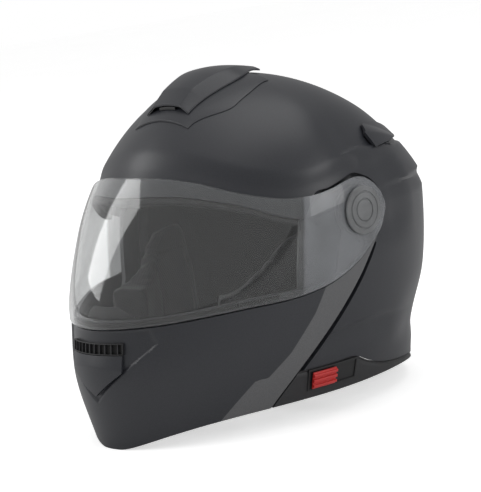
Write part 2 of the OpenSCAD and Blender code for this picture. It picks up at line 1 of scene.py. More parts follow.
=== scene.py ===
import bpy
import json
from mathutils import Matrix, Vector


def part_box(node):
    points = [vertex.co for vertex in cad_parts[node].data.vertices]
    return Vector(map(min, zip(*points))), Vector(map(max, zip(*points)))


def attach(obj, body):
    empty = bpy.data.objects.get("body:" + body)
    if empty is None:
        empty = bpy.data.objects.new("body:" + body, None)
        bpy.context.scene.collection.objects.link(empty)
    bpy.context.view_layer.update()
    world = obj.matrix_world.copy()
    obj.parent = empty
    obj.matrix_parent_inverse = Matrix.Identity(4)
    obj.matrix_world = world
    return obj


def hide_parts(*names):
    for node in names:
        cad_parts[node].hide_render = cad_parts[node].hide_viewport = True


bl_info = {
    "name": "Flip-up Helmet",
    "version": (1, 0, 0),
    "blender": (4, 5, 0),
    "location": "View3D > Sidebar > Helmet",
    "description": "Builds the shells, visors, vents, padding and finishes of a flip-up helmet",
    "category": "Add Mesh",
}

import json
import math

import bpy
import numpy as np
from mathutils import Matrix, Vector

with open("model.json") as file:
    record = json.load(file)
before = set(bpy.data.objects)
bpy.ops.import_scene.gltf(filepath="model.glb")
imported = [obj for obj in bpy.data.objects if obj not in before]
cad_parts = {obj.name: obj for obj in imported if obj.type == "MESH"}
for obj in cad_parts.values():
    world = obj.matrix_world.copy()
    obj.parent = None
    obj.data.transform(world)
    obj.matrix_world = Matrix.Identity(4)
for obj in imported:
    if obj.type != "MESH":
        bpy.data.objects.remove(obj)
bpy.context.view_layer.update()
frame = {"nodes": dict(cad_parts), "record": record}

# All shapes are worked out in millimetres and written in metres.
MM = 0.001
JOINTS = {j["name"]: j for j in frame["record"]["behaviour"]["joints"]}
PIVOT_Y, PIVOT_Z = (c / MM for c in JOINTS["chin_bar_flip"]["pos_m"][1:])
HALF_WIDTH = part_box("pivot_cap_left")[1].x / MM - 3
CROWN_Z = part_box("outer_shell")[1].z / MM
SLICE_MID = -5
MID_Y = PIVOT_Y - 3
NOSE = 156
TAIL = 156
CHIN_TOP_Z = 98
RECESS = 12
LOBE_R = 27.5
PORT_A = 71
LINER_IN = 36
VENT_Y = MID_Y - 5        # the crown vent is measured from here
SLOT_HALF = 16            # angle of the chin slot to each side
SLOT_LOW, SLOT_TOP = 73, 81.4

# Profiles: pairs of position and value, joined by a smooth curve
FRONT_LOW = [[0, 153.5], [50, 161.5], [98, 156], [120, 156]]
BACK_LOW = [[0, -131], [30, -126], [90, -142], [150, -156], [180, -156]]
WIDTH_LOW = [[0, 96], [60, 116], [150, HALF_WIDTH], [200, HALF_WIDTH]]
BROW_LOW = [[0, 181], [16, 181], [32, 179], [42, 174.5], [52, 168.5], [64, 157], [71, 152]]
VISOR_LOW = [[0, 90], [30, 91.5], [53, 95], [72, 98], [78.5, 101.5], [85, 108.5], [91, 117.5],
             [96, 127], [99.5, 137], [101, 147]]
VISOR_HIGH = [[0, 193], [16, 192.5], [26, 190.5], [39, 185], [46, 180], [55, 174], [67, 168.4],
              [74, 168], [81.5, 170.5], [88, 173.8], [92, 174.2], [96, 171], [99, 164], [100.6,
                                                                                         156], [101, 151]]
TRIM_TOP = [[55, 41], [80, 41], [87, 41], [94, 34], [130, 20], [180, 9]]


# ---------------------------------------------------------------- the body surface

def ease(p, q, x):
    """Smooth step from 0 at p to 1 at q."""
    t = np.clip((np.asarray(x, float) - p) / (q - p), 0, 1)
    return t * t * (3 - 2 * t)


def mix(p, q, t):
    """Straight blend from p to q."""
    return p + (q - p) * t


def curve(knots, x):
    """Cubic through the knots, each slope the mean of its two neighbours' rises weighted by the nearer one."""
    where, value = np.array(knots, float).T
    x = np.clip(np.asarray(x, float), where[0], where[-1])
    gaps = np.diff(where)
    rise = np.diff(value) / gaps
    inner = (rise[:-1] * gaps[1:] + rise[1:] * gaps[:-1]) / (gaps[:-1] + gaps[1:])
    slope = np.concatenate([rise[:1], inner, rise[-1:]])
    i = np.clip(np.searchsorted(where, x, side="right") - 1, 0, len(gaps) - 1)
    t = (x - where[i]) / gaps[i]
    u, w = t**2, t**3
    return ((2 * w - 3 * u + 1) * value[i] + (w - 2 * u + t) * gaps[i] * slope[i]
            + (3 * u - 2 * w) * value[i + 1] + (w - u) * gaps[i] * slope[i + 1])


def dome(z, start, power, root):
    """1 below start, falling to 0 at the crown along a superellipse."""
    return np.maximum(0, 1 - np.maximum(0, (z - start) / (CROWN_Z - start)) ** power) ** root


def wide(z):
    """Half width of the slice at height z: a curve up to the pivots and an ellipse above."""
    return np.where(z < PIVOT_Z, curve(WIDTH_LOW, z), HALF_WIDTH * dome(z, PIVOT_Z, 2, 0.5))


def fore(z):
    """Forward reach of the slice at height z."""
    return np.where(z < CHIN_TOP_Z, curve(FRONT_LOW, z),
                    SLICE_MID + (NOSE - SLICE_MID) * dome(z, CHIN_TOP_Z, 1.38, 0.55))


def aft(z):
    """Rear reach of the slice at height z, a negative number."""
    return np.where(z < PIVOT_Z, curve(BACK_LOW, z),
                    SLICE_MID - (SLICE_MID + TAIL) * dome(z, PIVOT_Z, 1.17, 0.55))


def narrow(z):
    """How much the front of a slice narrows."""
    return 0.13 + 0.1 * ease(40, PIVOT_Z, z) + 0.05 * ease(PIVOT_Z, 220, z)


def on_body(a, z):
    """Point of the body at angle a, 0 in front and 90 on the wearer's left, and height z.
    x is the half width times sin a, narrowed in front and widened behind, and y the reach times cos a."""
    a, z = np.broadcast_arrays(np.asarray(a, float), np.asarray(z, float))
    c, s = np.cos(np.radians(a)), np.sin(np.radians(a))
    reach = np.where(c >= 0, fore(z) - SLICE_MID, SLICE_MID - aft(z))
    side = 1 - narrow(z) * np.maximum(c, 0) ** 2 + 0.17 * np.maximum(-c, 0) ** 2
    return np.stack([wide(z) * s * side, MID_Y - reach * c, z], -1)


def rim(a):
    """Height of the bottom edge, which arches up at the sides."""
    return 18 * ease(0.1, 1, np.abs(np.sin(np.radians(a)))) ** 0.8


def out_dir(a, z):
    """Outward direction: the cross product of small steps round and up the body, level at the rim."""
    a, z = np.broadcast_arrays(np.asarray(a, float), np.asarray(z, float))
    h = np.minimum(z, CROWN_Z - 1.5)
    n = np.cross(on_body(a + 1, h) - on_body(a - 1, h), on_body(a, h + 0.5) - on_body(a, h - 0.5))
    n /= np.linalg.norm(n, axis=-1, keepdims=True)
    n[..., 2] *= ease(0, 30, z - rim(a))
    return n / np.linalg.norm(n, axis=-1, keepdims=True)


def at(a, z, d):
    """Point at angle a, height z and depth d below the body surface."""
    n = out_dir(a, z)
    return on_body(a, z) - np.asarray(d + 0 * n[..., 0])[..., None] * n


def chin_rear(z):
    """Angle of the chin bar's rear edge."""
    return 63 + 0.317 * (z - 20)


def shell_front(z):
    """Angle of the shell's front edge below the eye port."""
    return np.minimum(PORT_A, PORT_A - 0.2 * (100 - z))


def recess_rear(z):
    """Angle of the recess's rear edge: the chin bar's edge, then the round lobe about the pivot."""
    z = np.asarray(z, float)
    back = MID_Y - PIVOT_Y - np.sqrt(np.maximum(0, LOBE_R**2 - (z - PIVOT_Z) ** 2))
    lobe = 90 + np.degrees(np.arcsin(np.clip(-back / (SLICE_MID - aft(z)), -1, 1)))
    return np.where(z < 124, chin_rear(z) + 0.7, lobe)


def brow_depth(a, z):
    """How far the shell is set back under the visor's upper edge and beside the pivot."""
    b = np.abs(a)
    v = curve(VISOR_HIGH, np.minimum(b, 96))
    return (mix(2.2, 3.2, ease(45, 68, b)) * (1 - ease(v + 5, v + 19, z))
            * (1 - ease(106, 120, b)) * ease(112, 140, z))


def shell_relief(a, z):
    """Depth of the creases: a raised band round the back, a tuck above the rim and a flare at the neck."""
    b = np.abs(a)
    band = curve([[83, 191.5], [99.5, 194.7], [112, 193], [125, 189], [150, 186]], b)
    up = z - band
    above = 1.8 * ease(80, 97, b) * ease(-1.4, 0.4, up) * (1 - ease(2, 34, up)) * (1 - ease(150, 175, b))
    down = 163 - z
    below = 3.0 * ease(98, 128, b) * ease(-1.2, 1.6, down) * (1 - ease(8, 70, down))
    tuck_line = curve([[72, 62.5], [78, 65], [85, 67.6], [98, 67.8], [130, 62]], b)
    s = tuck_line - z
    tuck = 2.4 * ease(70, 78, b) * (1 - ease(94, 124, b)) * ease(-0.8, 3, s) * (1 - ease(5, 24, s))
    flare = 2.6 * ease(106, 124, b) * ease(30, 48, z) * (1 - ease(52, 92, z))
    return above + below + tuck + flare


# ---------------------------------------------------------------- meshes

def grid_faces(index, wrap=False):
    """Quads between neighbouring entries of a two-way array of vertex numbers, outer side out."""
    if wrap:
        index = np.vstack([index, index[:1]])
    return np.stack([index[:-1, :-1], index[1:, :-1], index[1:, 1:], index[:-1, 1:]], -1).reshape(-1, 4)


def thicken(outer, inner, quads, tris=None):
    """Closes a sheet of outer points and its inner copy: the inner faces run the other way and a wall
    joins the two along every free edge."""
    n = len(outer)
    tris = np.zeros((0, 3), int) if tris is None else tris
    edges = np.concatenate([quads[:, [k, (k + 1) % 4]] for k in range(4)]
                           + [tris[:, [k, (k + 1) % 3]] for k in range(3)])
    code = np.sort(edges, 1) @ np.array([n, 1])
    _, back, count = np.unique(code, return_inverse=True, return_counts=True)
    free = edges[count[back] == 1]
    walls = np.stack([free[:, 1], free[:, 0], free[:, 0] + n, free[:, 1] + n], -1)
    faces = (np.concatenate([quads, quads[:, ::-1] + n, walls]).tolist()
             + np.concatenate([tris, tris[:, ::-1] + n]).tolist())
    return np.concatenate([outer, inner]), faces


def value(f, *args):
    """A number as it is, or a function of the arguments."""
    return f(*args) if callable(f) else f


def patch(a0, a1, low, high, near, far, pitch=1.6, rows=None):
    """A slab of the body between two angles, two heights and two depths, each a number or a function."""
    cols = max(3, int(abs(a1 - a0) * 2.2 / pitch))
    a = np.linspace(a0, a1, cols + 1)[:, None]
    bottom, top = value(low, a) + 0 * a, value(high, a) + 0 * a
    rows = rows or max(2, int(np.max(top - bottom) / pitch))
    z = mix(bottom, top, np.linspace(0, 1, rows + 1)[None, :])
    outer, inner = at(a, z, value(near, a, z)), at(a, z, value(far, a, z))
    index = np.arange(outer[..., 0].size).reshape(outer.shape[:2])
    return thicken(outer.reshape(-1, 3), inner.reshape(-1, 3), grid_faces(index))


def joined(parts):
    """Several closed slabs as one."""
    points, faces, start = [], [], 0
    for p, f in parts:
        points.append(p)
        faces += [[i + start for i in face] for face in f]
        start += len(p)
    return np.concatenate(points), faces


def lathe(profile, x_side, cols=96):
    """A profile of radius and distance along x, turned about the pivot axis."""
    r, x = np.array(profile, float).T
    t = np.linspace(0, 2 * math.pi, cols, endpoint=False)[:, None]
    points = np.stack([x_side * x + 0 * t, PIVOT_Y + r * np.cos(t), PIVOT_Z + r * np.sin(t)], -1)
    index = np.arange(points[..., 0].size).reshape(points.shape[:2])
    quads = grid_faces(index, wrap=True)
    if x_side > 0:
        quads = quads[:, ::-1]
    return points.reshape(-1, 3), quads.tolist() + [index[::x_side, 0].tolist(),
                                                    index[::-x_side, -1].tolist()]


def piece(name, shape, body, material, nodes=(), bevel=0.0, sharp=38, attributes=None):
    """Makes one mesh object of a shape, rides it on a body and hides the CAD parts it stands for."""
    points, faces = shape
    mesh = bpy.data.meshes.new(name)
    mesh.from_pydata((np.asarray(points) * MM).tolist(), [], faces)
    for key, values in (attributes or {}).items():
        layer = mesh.attributes.new(key, "FLOAT", "POINT")
        layer.data.foreach_set("value", np.asarray(values, np.float32).ravel())
    mesh.validate()
    mesh.shade_smooth()
    mesh.set_sharp_from_angle(angle=math.radians(sharp))
    obj = bpy.data.objects.new(name, mesh)
    bpy.context.scene.collection.objects.link(obj)
    mesh.materials.append(material)
    if bevel:
        round_edges = obj.modifiers.new("round_edges", "BEVEL")
        round_edges.width = bevel * MM
        round_edges.segments = 2
        round_edges.limit_method = "ANGLE"
        round_edges.angle_limit = math.radians(50)
        round_edges.harden_normals = False
    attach(obj, body)
    if nodes:
        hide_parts(*nodes)
    return obj


def mirrored(shape):
    """The same closed shape on the wearer's right."""
    points, faces = shape
    return points * [-1, 1, 1], [f[::-1] for f in faces]


# ---------------------------------------------------------------- finishes

def new_material(name):
    """An empty material with its shader and output."""
    material = bpy.data.materials.new(name)
    material.use_nodes = True
    nodes = material.node_tree.nodes
    nodes.clear()
    out = nodes.new("ShaderNodeOutputMaterial")
    shader = nodes.new("ShaderNodeBsdfPrincipled")
    material.node_tree.links.new(shader.outputs["BSDF"], out.inputs["Surface"])
    return material, nodes, material.node_tree.links, shader


def noise(nodes, links, scale, detail=3.0, rough=0.55, coords=None):
    """A noise pattern on the object's own coordinates."""
    coords = coords or nodes.new("ShaderNodeTexCoord").outputs["Object"]
    tex = nodes.new("ShaderNodeTexNoise")
    tex.inputs["Scale"].default_value = scale
    tex.inputs["Detail"].default_value = detail
    tex.inputs["Roughness"].default_value = rough
    links.new(coords, tex.inputs["Vector"])
    return tex.outputs["Fac"]


def ramp(nodes, links, source, low, high, start=0.3, end=0.7):
    """Colours a pattern from low to high."""
    node = nodes.new("ShaderNodeValToRGB")
    node.color_ramp.elements[0].position = start
    node.color_ramp.elements[1].position = end
    node.color_ramp.elements[0].color = (*low, 1)
    node.color_ramp.elements[1].color = (*high, 1)
    links.new(source, node.inputs["Fac"])
    return node.outputs["Color"]


def scaled(nodes, links, source, low, high):
    """Maps a 0 to 1 pattern to the range low to high."""
    node = nodes.new("ShaderNodeMapRange")
    node.inputs["To Min"].default_value = low
    node.inputs["To Max"].default_value = high
    links.new(source, node.inputs["Value"])
    return node.outputs["Result"]


def bump(nodes, links, shader, source, depth, before=None):
    """Adds a relief of the given depth in millimetres."""
    node = nodes.new("ShaderNodeBump")
    node.inputs["Strength"].default_value = 1
    node.inputs["Distance"].default_value = depth * MM
    links.new(source, node.inputs["Height"])
    if before is not None:
        links.new(before, node.inputs["Normal"])
    links.new(node.outputs["Normal"], shader.inputs["Normal"])
    return node.outputs["Normal"]


def tint(colour, k):
    """A colour made lighter or darker."""
    return tuple(min(1.0, c * k) for c in colour)


def moulded(name, colour, rough, grain=900.0, depth=0.02, spread=0.12, coat=0.0):
    """Moulded plastic or rubber: fine grain, slight mottling and uneven gloss."""
    material, nodes, links, shader = new_material(name)
    cloud = noise(nodes, links, 28, 4)
    links.new(ramp(nodes, links, cloud, tint(colour, 1 - spread), tint(colour, 1 + spread)),
              shader.inputs["Base Color"])
    links.new(scaled(nodes, links, noise(nodes, links, 65, 5), rough - 0.06, rough + 0.06),
              shader.inputs["Roughness"])
    bump(nodes, links, shader, noise(nodes, links, grain, 2), depth)
    shader.inputs["Coat Weight"].default_value = coat
    shader.inputs["Coat Roughness"].default_value = 0.2
    return material


def shell_paint(colours):
    """Satin dark paint: a faint orange peel and flake in the colour."""
    material, nodes, links, shader = new_material("shell_paint")
    base = tuple(colours.paint)
    flake = ramp(nodes, links, noise(nodes, links, 1400, 1), tint(base, 0.86), tint(base, 1.14), 0.35, 0.65)
    links.new(flake, shader.inputs["Base Color"])
    links.new(scaled(nodes, links, noise(nodes, links, 22, 3), 0.37, 0.45), shader.inputs["Roughness"])
    bump(nodes, links, shader, noise(nodes, links, 160, 2), 0.012)
    shader.inputs["Specular IOR Level"].default_value = 0.5
    shader.inputs["Coat Weight"].default_value = 0.12
    shader.inputs["Coat Roughness"].default_value = 0.3
    return material


def striped_paint(colours, name="chin_paint", attribute="stripe", other=None):
    """The same paint, with a second colour where the piece's own attribute is above zero."""
    material, nodes, links, shader = new_material(name)
    base, second = tuple(colours.paint), tuple(other or colours.stripe)
    flake = noise(nodes, links, 1400, 1)
    dark = ramp(nodes, links, flake, tint(base, 0.86), tint(base, 1.14), 0.35, 0.65)
    light = ramp(nodes, links, flake, tint(second, 0.9), tint(second, 1.1), 0.35, 0.65)
    mark = nodes.new("ShaderNodeAttribute")
    mark.attribute_name = attribute
    edge = nodes.new("ShaderNodeMapRange")
    edge.inputs["From Min"].default_value = -0.12
    edge.inputs["From Max"].default_value = 0.12
    links.new(mark.outputs["Fac"], edge.inputs["Value"])
    blend = nodes.new("ShaderNodeMix")
    blend.data_type = "RGBA"
    links.new(edge.outputs["Result"], blend.inputs["Factor"])
    links.new(dark, blend.inputs[6])
    links.new(light, blend.inputs[7])
    links.new(blend.outputs[2], shader.inputs["Base Color"])
    links.new(scaled(nodes, links, noise(nodes, links, 22, 3), 0.37, 0.45), shader.inputs["Roughness"])
    bump(nodes, links, shader, noise(nodes, links, 160, 2), 0.012)
    shader.inputs["Coat Weight"].default_value = 0.12
    shader.inputs["Coat Roughness"].default_value = 0.3
    return material


def knit(name, colour):
    """Knitted lining cloth: crossed ribs, fuzz and sheen."""
    material, nodes, links, shader = new_material(name)
    coords = nodes.new("ShaderNodeTexCoord").outputs["Object"]
    ribs = []
    for turn in (0.785, -0.785):
        mapping = nodes.new("ShaderNodeMapping")
        mapping.inputs["Rotation"].default_value = (turn, turn / 2, turn)
        links.new(coords, mapping.inputs["Vector"])
        wave = nodes.new("ShaderNodeTexWave")
        wave.inputs["Scale"].default_value = 260
        wave.inputs["Distortion"].default_value = 1.5
        links.new(mapping.outputs["Vector"], wave.inputs["Vector"])
        ribs.append(wave.outputs["Fac"])
    cross = nodes.new("ShaderNodeMath")
    cross.operation = "MULTIPLY"
    links.new(ribs[0], cross.inputs[0])
    links.new(ribs[1], cross.inputs[1])
    links.new(ramp(nodes, links, cross.outputs[0], tint(colour, 0.7), tint(colour, 1.35), 0.1, 0.8),
              shader.inputs["Base Color"])
    links.new(scaled(nodes, links, noise(nodes, links, 120, 4), 0.82, 0.96), shader.inputs["Roughness"])
    bump(nodes, links, shader, cross.outputs[0], 0.25)
    shader.inputs["Sheen Weight"].default_value = 0.25
    shader.inputs["Sheen Roughness"].default_value = 0.5
    return material


def bead_foam(name, colour):
    """Bead foam: packed cells with dark seams."""
    material, nodes, links, shader = new_material(name)
    cells = nodes.new("ShaderNodeTexVoronoi")
    cells.feature = "DISTANCE_TO_EDGE"
    cells.inputs["Scale"].default_value = 330
    links.new(nodes.new("ShaderNodeTexCoord").outputs["Object"], cells.inputs["Vector"])
    links.new(ramp(nodes, links, cells.outputs["Distance"], tint(colour, 0.55), tint(colour, 1.1), 0.0, 0.18),
              shader.inputs["Base Color"])
    shader.inputs["Roughness"].default_value = 0.8
    bump(nodes, links, shader, cells.outputs["Distance"], 0.35)
    return material


def webbing_cloth(name, colour):
    """Woven strap: diagonal twill on the piece's own map."""
    material, nodes, links, shader = new_material(name)
    uv = nodes.new("ShaderNodeUVMap")
    uv.uv_map = "weave"
    wave = nodes.new("ShaderNodeTexWave")
    wave.bands_direction = "DIAGONAL"
    wave.inputs["Scale"].default_value = 9
    wave.inputs["Distortion"].default_value = 0.4
    links.new(uv.outputs["UV"], wave.inputs["Vector"])
    links.new(ramp(nodes, links, wave.outputs["Fac"], tint(colour, 0.6), tint(colour, 1.4), 0.2, 0.8),
              shader.inputs["Base Color"])
    shader.inputs["Roughness"].default_value = 0.75
    shader.inputs["Sheen Weight"].default_value = 0.2
    bump(nodes, links, shader, wave.outputs["Fac"], 0.3)
    return material


def brushed_steel():
    """Steel with fine brushed lines."""
    material, nodes, links, shader = new_material("steel")
    mapping = nodes.new("ShaderNodeMapping")
    mapping.inputs["Scale"].default_value = (60, 60, 2200)
    links.new(nodes.new("ShaderNodeTexCoord").outputs["Object"], mapping.inputs["Vector"])
    lines = noise(nodes, links, 1, 3, coords=mapping.outputs["Vector"])
    links.new(ramp(nodes, links, lines, (0.42, 0.42, 0.43), (0.62, 0.62, 0.63)), shader.inputs["Base Color"])
    links.new(scaled(nodes, links, lines, 0.24, 0.4), shader.inputs["Roughness"])
    shader.inputs["Metallic"].default_value = 1
    bump(nodes, links, shader, lines, 0.01)
    return material


def clear_plastic(name, colour, haze, haze_colour, attribute=None, rough=0.03):
    """Clear sheet: a refracting shader, with part of the light caught by a pale haze.
    The attribute raises the haze where the sheet covers the side mechanism."""
    material, nodes, links, shader = new_material(name)
    shader.inputs["Base Color"].default_value = (*colour, 1)
    shader.inputs["Transmission Weight"].default_value = 1
    shader.inputs["IOR"].default_value = 1.49
    shader.inputs["Roughness"].default_value = rough
    skin = nodes.new("ShaderNodeBsdfPrincipled")
    skin.inputs["Roughness"].default_value = 0.3
    cloud = noise(nodes, links, 45, 4)
    links.new(ramp(nodes, links, cloud, tint(haze_colour, 0.8), tint(haze_colour, 1.2)),
              skin.inputs["Base Color"])
    blend = nodes.new("ShaderNodeMixShader")
    amount = scaled(nodes, links, noise(nodes, links, 60, 3), haze * 0.8, haze * 1.2)
    if attribute:
        mark = nodes.new("ShaderNodeAttribute")
        mark.attribute_name = attribute
        most = nodes.new("ShaderNodeMath")
        most.operation = "MAXIMUM"
        links.new(amount, most.inputs[0])
        links.new(mark.outputs["Fac"], most.inputs[1])
        amount = most.outputs[0]
    links.new(amount, blend.inputs["Fac"])
    links.new(shader.outputs["BSDF"], blend.inputs[1])
    links.new(skin.outputs["BSDF"], blend.inputs[2])
    out = next(n for n in nodes if n.type == "OUTPUT_MATERIAL")
    links.new(blend.outputs["Shader"], out.inputs["Surface"])
    return material


MATERIALS = {}


def make_materials(colours):
    """Every finish, by the name used below."""
    plastic = tuple(colours.plastic)
    MATERIALS.update(
        paint=shell_paint(colours),
        chin_paint=striped_paint(colours),
        recess_paint=striped_paint(colours, "recess_paint", "recess", tuple(colours.mechanism)),
        plastic=moulded("black_plastic", plastic, 0.48),
        trim=moulded("trim_plastic", tint(plastic, 1.9), 0.52, 700, 0.03),
        rubber=moulded("black_rubber", tint(plastic, 0.8), 0.7, 500, 0.04),
        red=moulded("red_plastic", tuple(colours.accent), 0.34, 900, 0.01, 0.06, 0.3),
        # The dark finish is near black: painted shade for the open chin slot behind the fins.
        dark=moulded("slot_painted_shade", (0.004, 0.004, 0.004), 0.7),
        cloth=knit("lining", tuple(colours.lining)),
        foam=bead_foam("foam", (0.028, 0.028, 0.03)),
        webbing=webbing_cloth("webbing", (0.02, 0.02, 0.021)),
        steel=brushed_steel(),
        clear=clear_plastic("clear_visor", (0.97, 0.98, 0.98), 0.012, (0.3, 0.31, 0.33), "side"),
        cap=clear_plastic("cap_plastic", (0.75, 0.77, 0.78), 0.72, (0.2, 0.205, 0.21), rough=0.08),
        mechanism=moulded("mechanism_plastic", tint(tuple(colours.mechanism), 0.8), 0.4, 700, 0.02),
        smoke=clear_plastic("smoke_visor", (0.12, 0.12, 0.13), 0.12, (0.02, 0.02, 0.022)),
    )


# ---------------------------------------------------------------- shells

def full_turn(half):
    """A half grid from the front to the back, carried on round the wearer's right side."""
    return np.concatenate([half, half[-2:0:-1] * [-1, 1, 1]])


def skirt_low(q_angle, clearance=0.4):
    """Height at which a column meets the rim's trim, by repeated substitution."""
    z = np.full(len(q_angle(np.zeros(1) + 41.0)), 41.0)
    for _ in range(8):
        z = curve(TRIM_TOP, q_angle(z)) + clearance
    return z


def shell_shape(wall=3.5):
    """The dome hangs its rows between the brow and the crown, and the skirt hangs from the dome behind
    the eye port. The skirt's columns cross the recess, step up its rear wall and run on to the back."""
    port = np.linspace(0, PORT_A, 60)
    across = np.concatenate([np.linspace(0, 0.25, 9), np.linspace(0.25, 1, 22)[1:]])
    step = np.array([0.35, 0.7, 1.0])
    back = np.linspace(0, 1, 96)[1:]
    dome_a = np.concatenate([port, curve([[0, 71], [0.25, 75], [0.5, 80.5], [0.75, 86], [1, 91]], across)[1:],
                             91 + 2.5 * step, mix(93.5, 180, back)])
    dome_low = np.concatenate([curve(BROW_LOW, port),
                               curve([[0, 152], [0.25, 169], [0.5, 171.5], [0.75, 174.8], [1, 178]],
                                     across)[1:],
                               np.full(len(step) + len(back), PIVOT_Z + LOBE_R + 0.5)])
    first = len(port) - 1
    kind = np.concatenate([np.zeros(len(across)), np.ones(len(step)), np.full(len(back), 2)])
    u = np.concatenate([across, step, back])

    def skirt_a(z):
        """Angle of each skirt column at its own height z."""
        ahead = mix(shell_front(z), recess_rear(z), u)
        wall_a = recess_rear(z) + 0.6 * u
        behind = mix(recess_rear(z) + 0.6, 180, u)
        return np.where(kind == 0, ahead, np.where(kind == 1, wall_a, behind))

    low = np.full(len(u), 41.0)
    for _ in range(8):
        low = curve(TRIM_TOP, skirt_a(low)) + 0.4
    rise = np.sin(np.linspace(0, 0.5, 70)[:-1] * math.pi)[None, :]
    z = mix(dome_low[:, None], CROWN_Z, rise)
    a = dome_a[:, None] + 0 * z
    depth = brow_depth(a, z)
    dome_out, dome_in = at(a, z, depth + shell_relief(a, z)), at(a, z, depth + wall)
    t = np.concatenate([np.linspace(0, 0.96, 64), [0.985]])[None, :]
    sz = mix(low[:, None], dome_low[first:, None], t)
    sa = np.stack([skirt_a(sz[:, k]) for k in range(sz.shape[1])], 1)
    sunk = np.where(kind == 0, RECESS, np.where(kind == 1, RECESS * (1 - u), 0))[:, None]
    base = np.where(kind[:, None] == 0, RECESS,
                    sunk + brow_depth(sa, sz) * np.where(kind == 1, u, 1)[:, None])
    crease = np.where(kind[:, None] == 2, shell_relief(sa, sz), 0)
    skirt_out, skirt_in = at(sa, sz, base + crease), at(sa, sz, base + wall)
    dome_out, dome_in = full_turn(dome_out), full_turn(dome_in)
    side = lambda g: np.concatenate([g, g[-2::-1] * [-1, 1, 1]])
    skirt_out, skirt_in = side(skirt_out), side(skirt_in)
    n_cols, n_rows = dome_out.shape[:2]
    dome_index = np.arange(n_cols * n_rows).reshape(n_cols, n_rows)
    skirt_cols, skirt_rows = skirt_out.shape[:2]
    skirt_index = n_cols * n_rows + np.arange(skirt_cols * skirt_rows).reshape(skirt_cols, skirt_rows)
    hung = np.concatenate([skirt_index, dome_index[first:first + skirt_cols, :1]], 1)
    apex = n_cols * n_rows + skirt_cols * skirt_rows
    top = dome_index[:, -1]
    tris = np.stack([top, np.roll(top, -1), np.full(n_cols, apex)], -1)
    outer = np.concatenate([dome_out.reshape(-1, 3), skirt_out.reshape(-1, 3), [[0, MID_Y, CROWN_Z]]])
    inner = np.concatenate([dome_in.reshape(-1, 3), skirt_in.reshape(-1, 3), [[0, MID_Y, CROWN_Z - wall]]])
    quads = np.concatenate([grid_faces(dome_index, wrap=True), grid_faces(hung)])
    floor_mark = np.tile(np.where(kind == 0, 1.0, -1.0)[:, None], (1, skirt_rows))
    floor_mark = np.concatenate([floor_mark, floor_mark[-2::-1]])
    mark = np.concatenate([np.full(n_cols * n_rows, -1.0), floor_mark.ravel(), [-1.0]])
    shape = thicken(outer, inner, quads, tris)
    return shape, np.concatenate([mark, mark])


def chin_a(s, z):
    """Angle of a chin bar column, from -1 at the right end to 1 at the left."""
    return s * (chin_rear(z) - 0.3)


def chin_relief(a, z):
    """Depth of the sunk panel round the chin vent: a kite that narrows to a point below."""
    edge = np.interp(z, [37, 79, 90, 100], [0, 29, 26.5, 26])
    return 1.6 * ease(0, 2.2, (edge - np.abs(a)) * 2.0)


def stripe_front(z):
    """Angle of the stripe's front edge, with a notch above the rim."""
    return np.interp(z, [0, 16.5, 41.3, 42, 57, 83, 100, 130], [41, 47.5, 57.3, 61, 67, 73.8, 77, 83])


def chin_bar_shape(wall=3.0):
    """Columns run from end to end. Each column's rows climb to the visor's lower edge and then on up a
    lip that is set back for the visor to close over."""
    s = np.linspace(-1, 1, 221)
    top = np.full(len(s), 95.0)
    low = np.full(len(s), 12.0)
    for _ in range(8):
        top = curve(VISOR_LOW, np.abs(chin_a(s, top)))
        low = rim(chin_a(s, low))
    lip = mix(3.5, 2.0, ease(0.8, 0.93, np.abs(s)))[:, None]
    tall = mix(7, 2.4, ease(0.7, 0.95, np.abs(s)))[:, None]
    t = np.linspace(0, 1, 66)[None, :]
    z = np.concatenate([mix(low[:, None], top[:, None], t), top[:, None] + 0.5, top[:, None] + tall], 1)
    a = chin_a(s[:, None], z)
    on_face = np.concatenate([np.ones((len(s), t.size)), np.zeros((len(s), 2))], 1)
    depth = chin_relief(a, z) * on_face * ease(0, 3, top[:, None] - z + 1.5) + lip * (1 - on_face)
    outer, inner = at(a, z, depth), at(a, z, lip * (1 - on_face) + wall)
    index = np.arange(a.size).reshape(a.shape)
    mark = np.clip(np.abs(a) - stripe_front(z), -4, 4) * on_face - 4 * (1 - on_face)
    shape = thicken(outer.reshape(-1, 3), inner.reshape(-1, 3), grid_faces(index))
    return shape, np.concatenate([mark.ravel(), np.full(a.size, -4.0)])


def visor_shape():
    """The clear sheet between its curved lower and upper edges, wrapped back round both pivots."""
    half = np.concatenate([np.linspace(0, 90, 91), np.linspace(90.6, 101, 26)])
    a = np.concatenate([-half[:0:-1], half])[:, None]
    t = np.linspace(0, 1, 61)[None, :]
    z = mix(curve(VISOR_LOW, np.abs(a)) + 1.3, curve(VISOR_HIGH, np.abs(a)), t)
    index = np.arange(z.size).reshape(z.shape)
    shape = thicken(at(a, z, -1.0).reshape(-1, 3), at(a, z, 1.2).reshape(-1, 3), grid_faces(index))
    side = (0.42 * ease(70.4, 71.2, np.abs(a)) + 0 * z).ravel()
    return shape, np.concatenate([side, side])


# ---------------------------------------------------------------- crown and vents

def crown_at(x, y, lift):
    """Point at a height above the crown over x, y. The body's height there is found by halving, from the
    ellipse of each slice."""
    x, y = np.broadcast_arrays(np.asarray(x, float), np.asarray(y, float))
    f = MID_Y - y
    lo, hi = np.full(f.shape, PIVOT_Z), np.full(f.shape, CROWN_Z - 0.1)
    for _ in range(22):
        z = (lo + hi) / 2
        reach = np.where(f >= 0, fore(z) - SLICE_MID, SLICE_MID - aft(z))
        c = np.minimum(1, np.abs(f) / reach)
        w = wide(z) * np.where(f >= 0, 1 - narrow(z) * c**2, 1 + 0.17 * c**2)
        outside = (x / w) ** 2 + (f / reach) ** 2 > 1
        lo, hi = np.where(outside, lo, z), np.where(outside, z, hi)
    return np.stack([x, y, (lo + hi) / 2 + lift], -1)


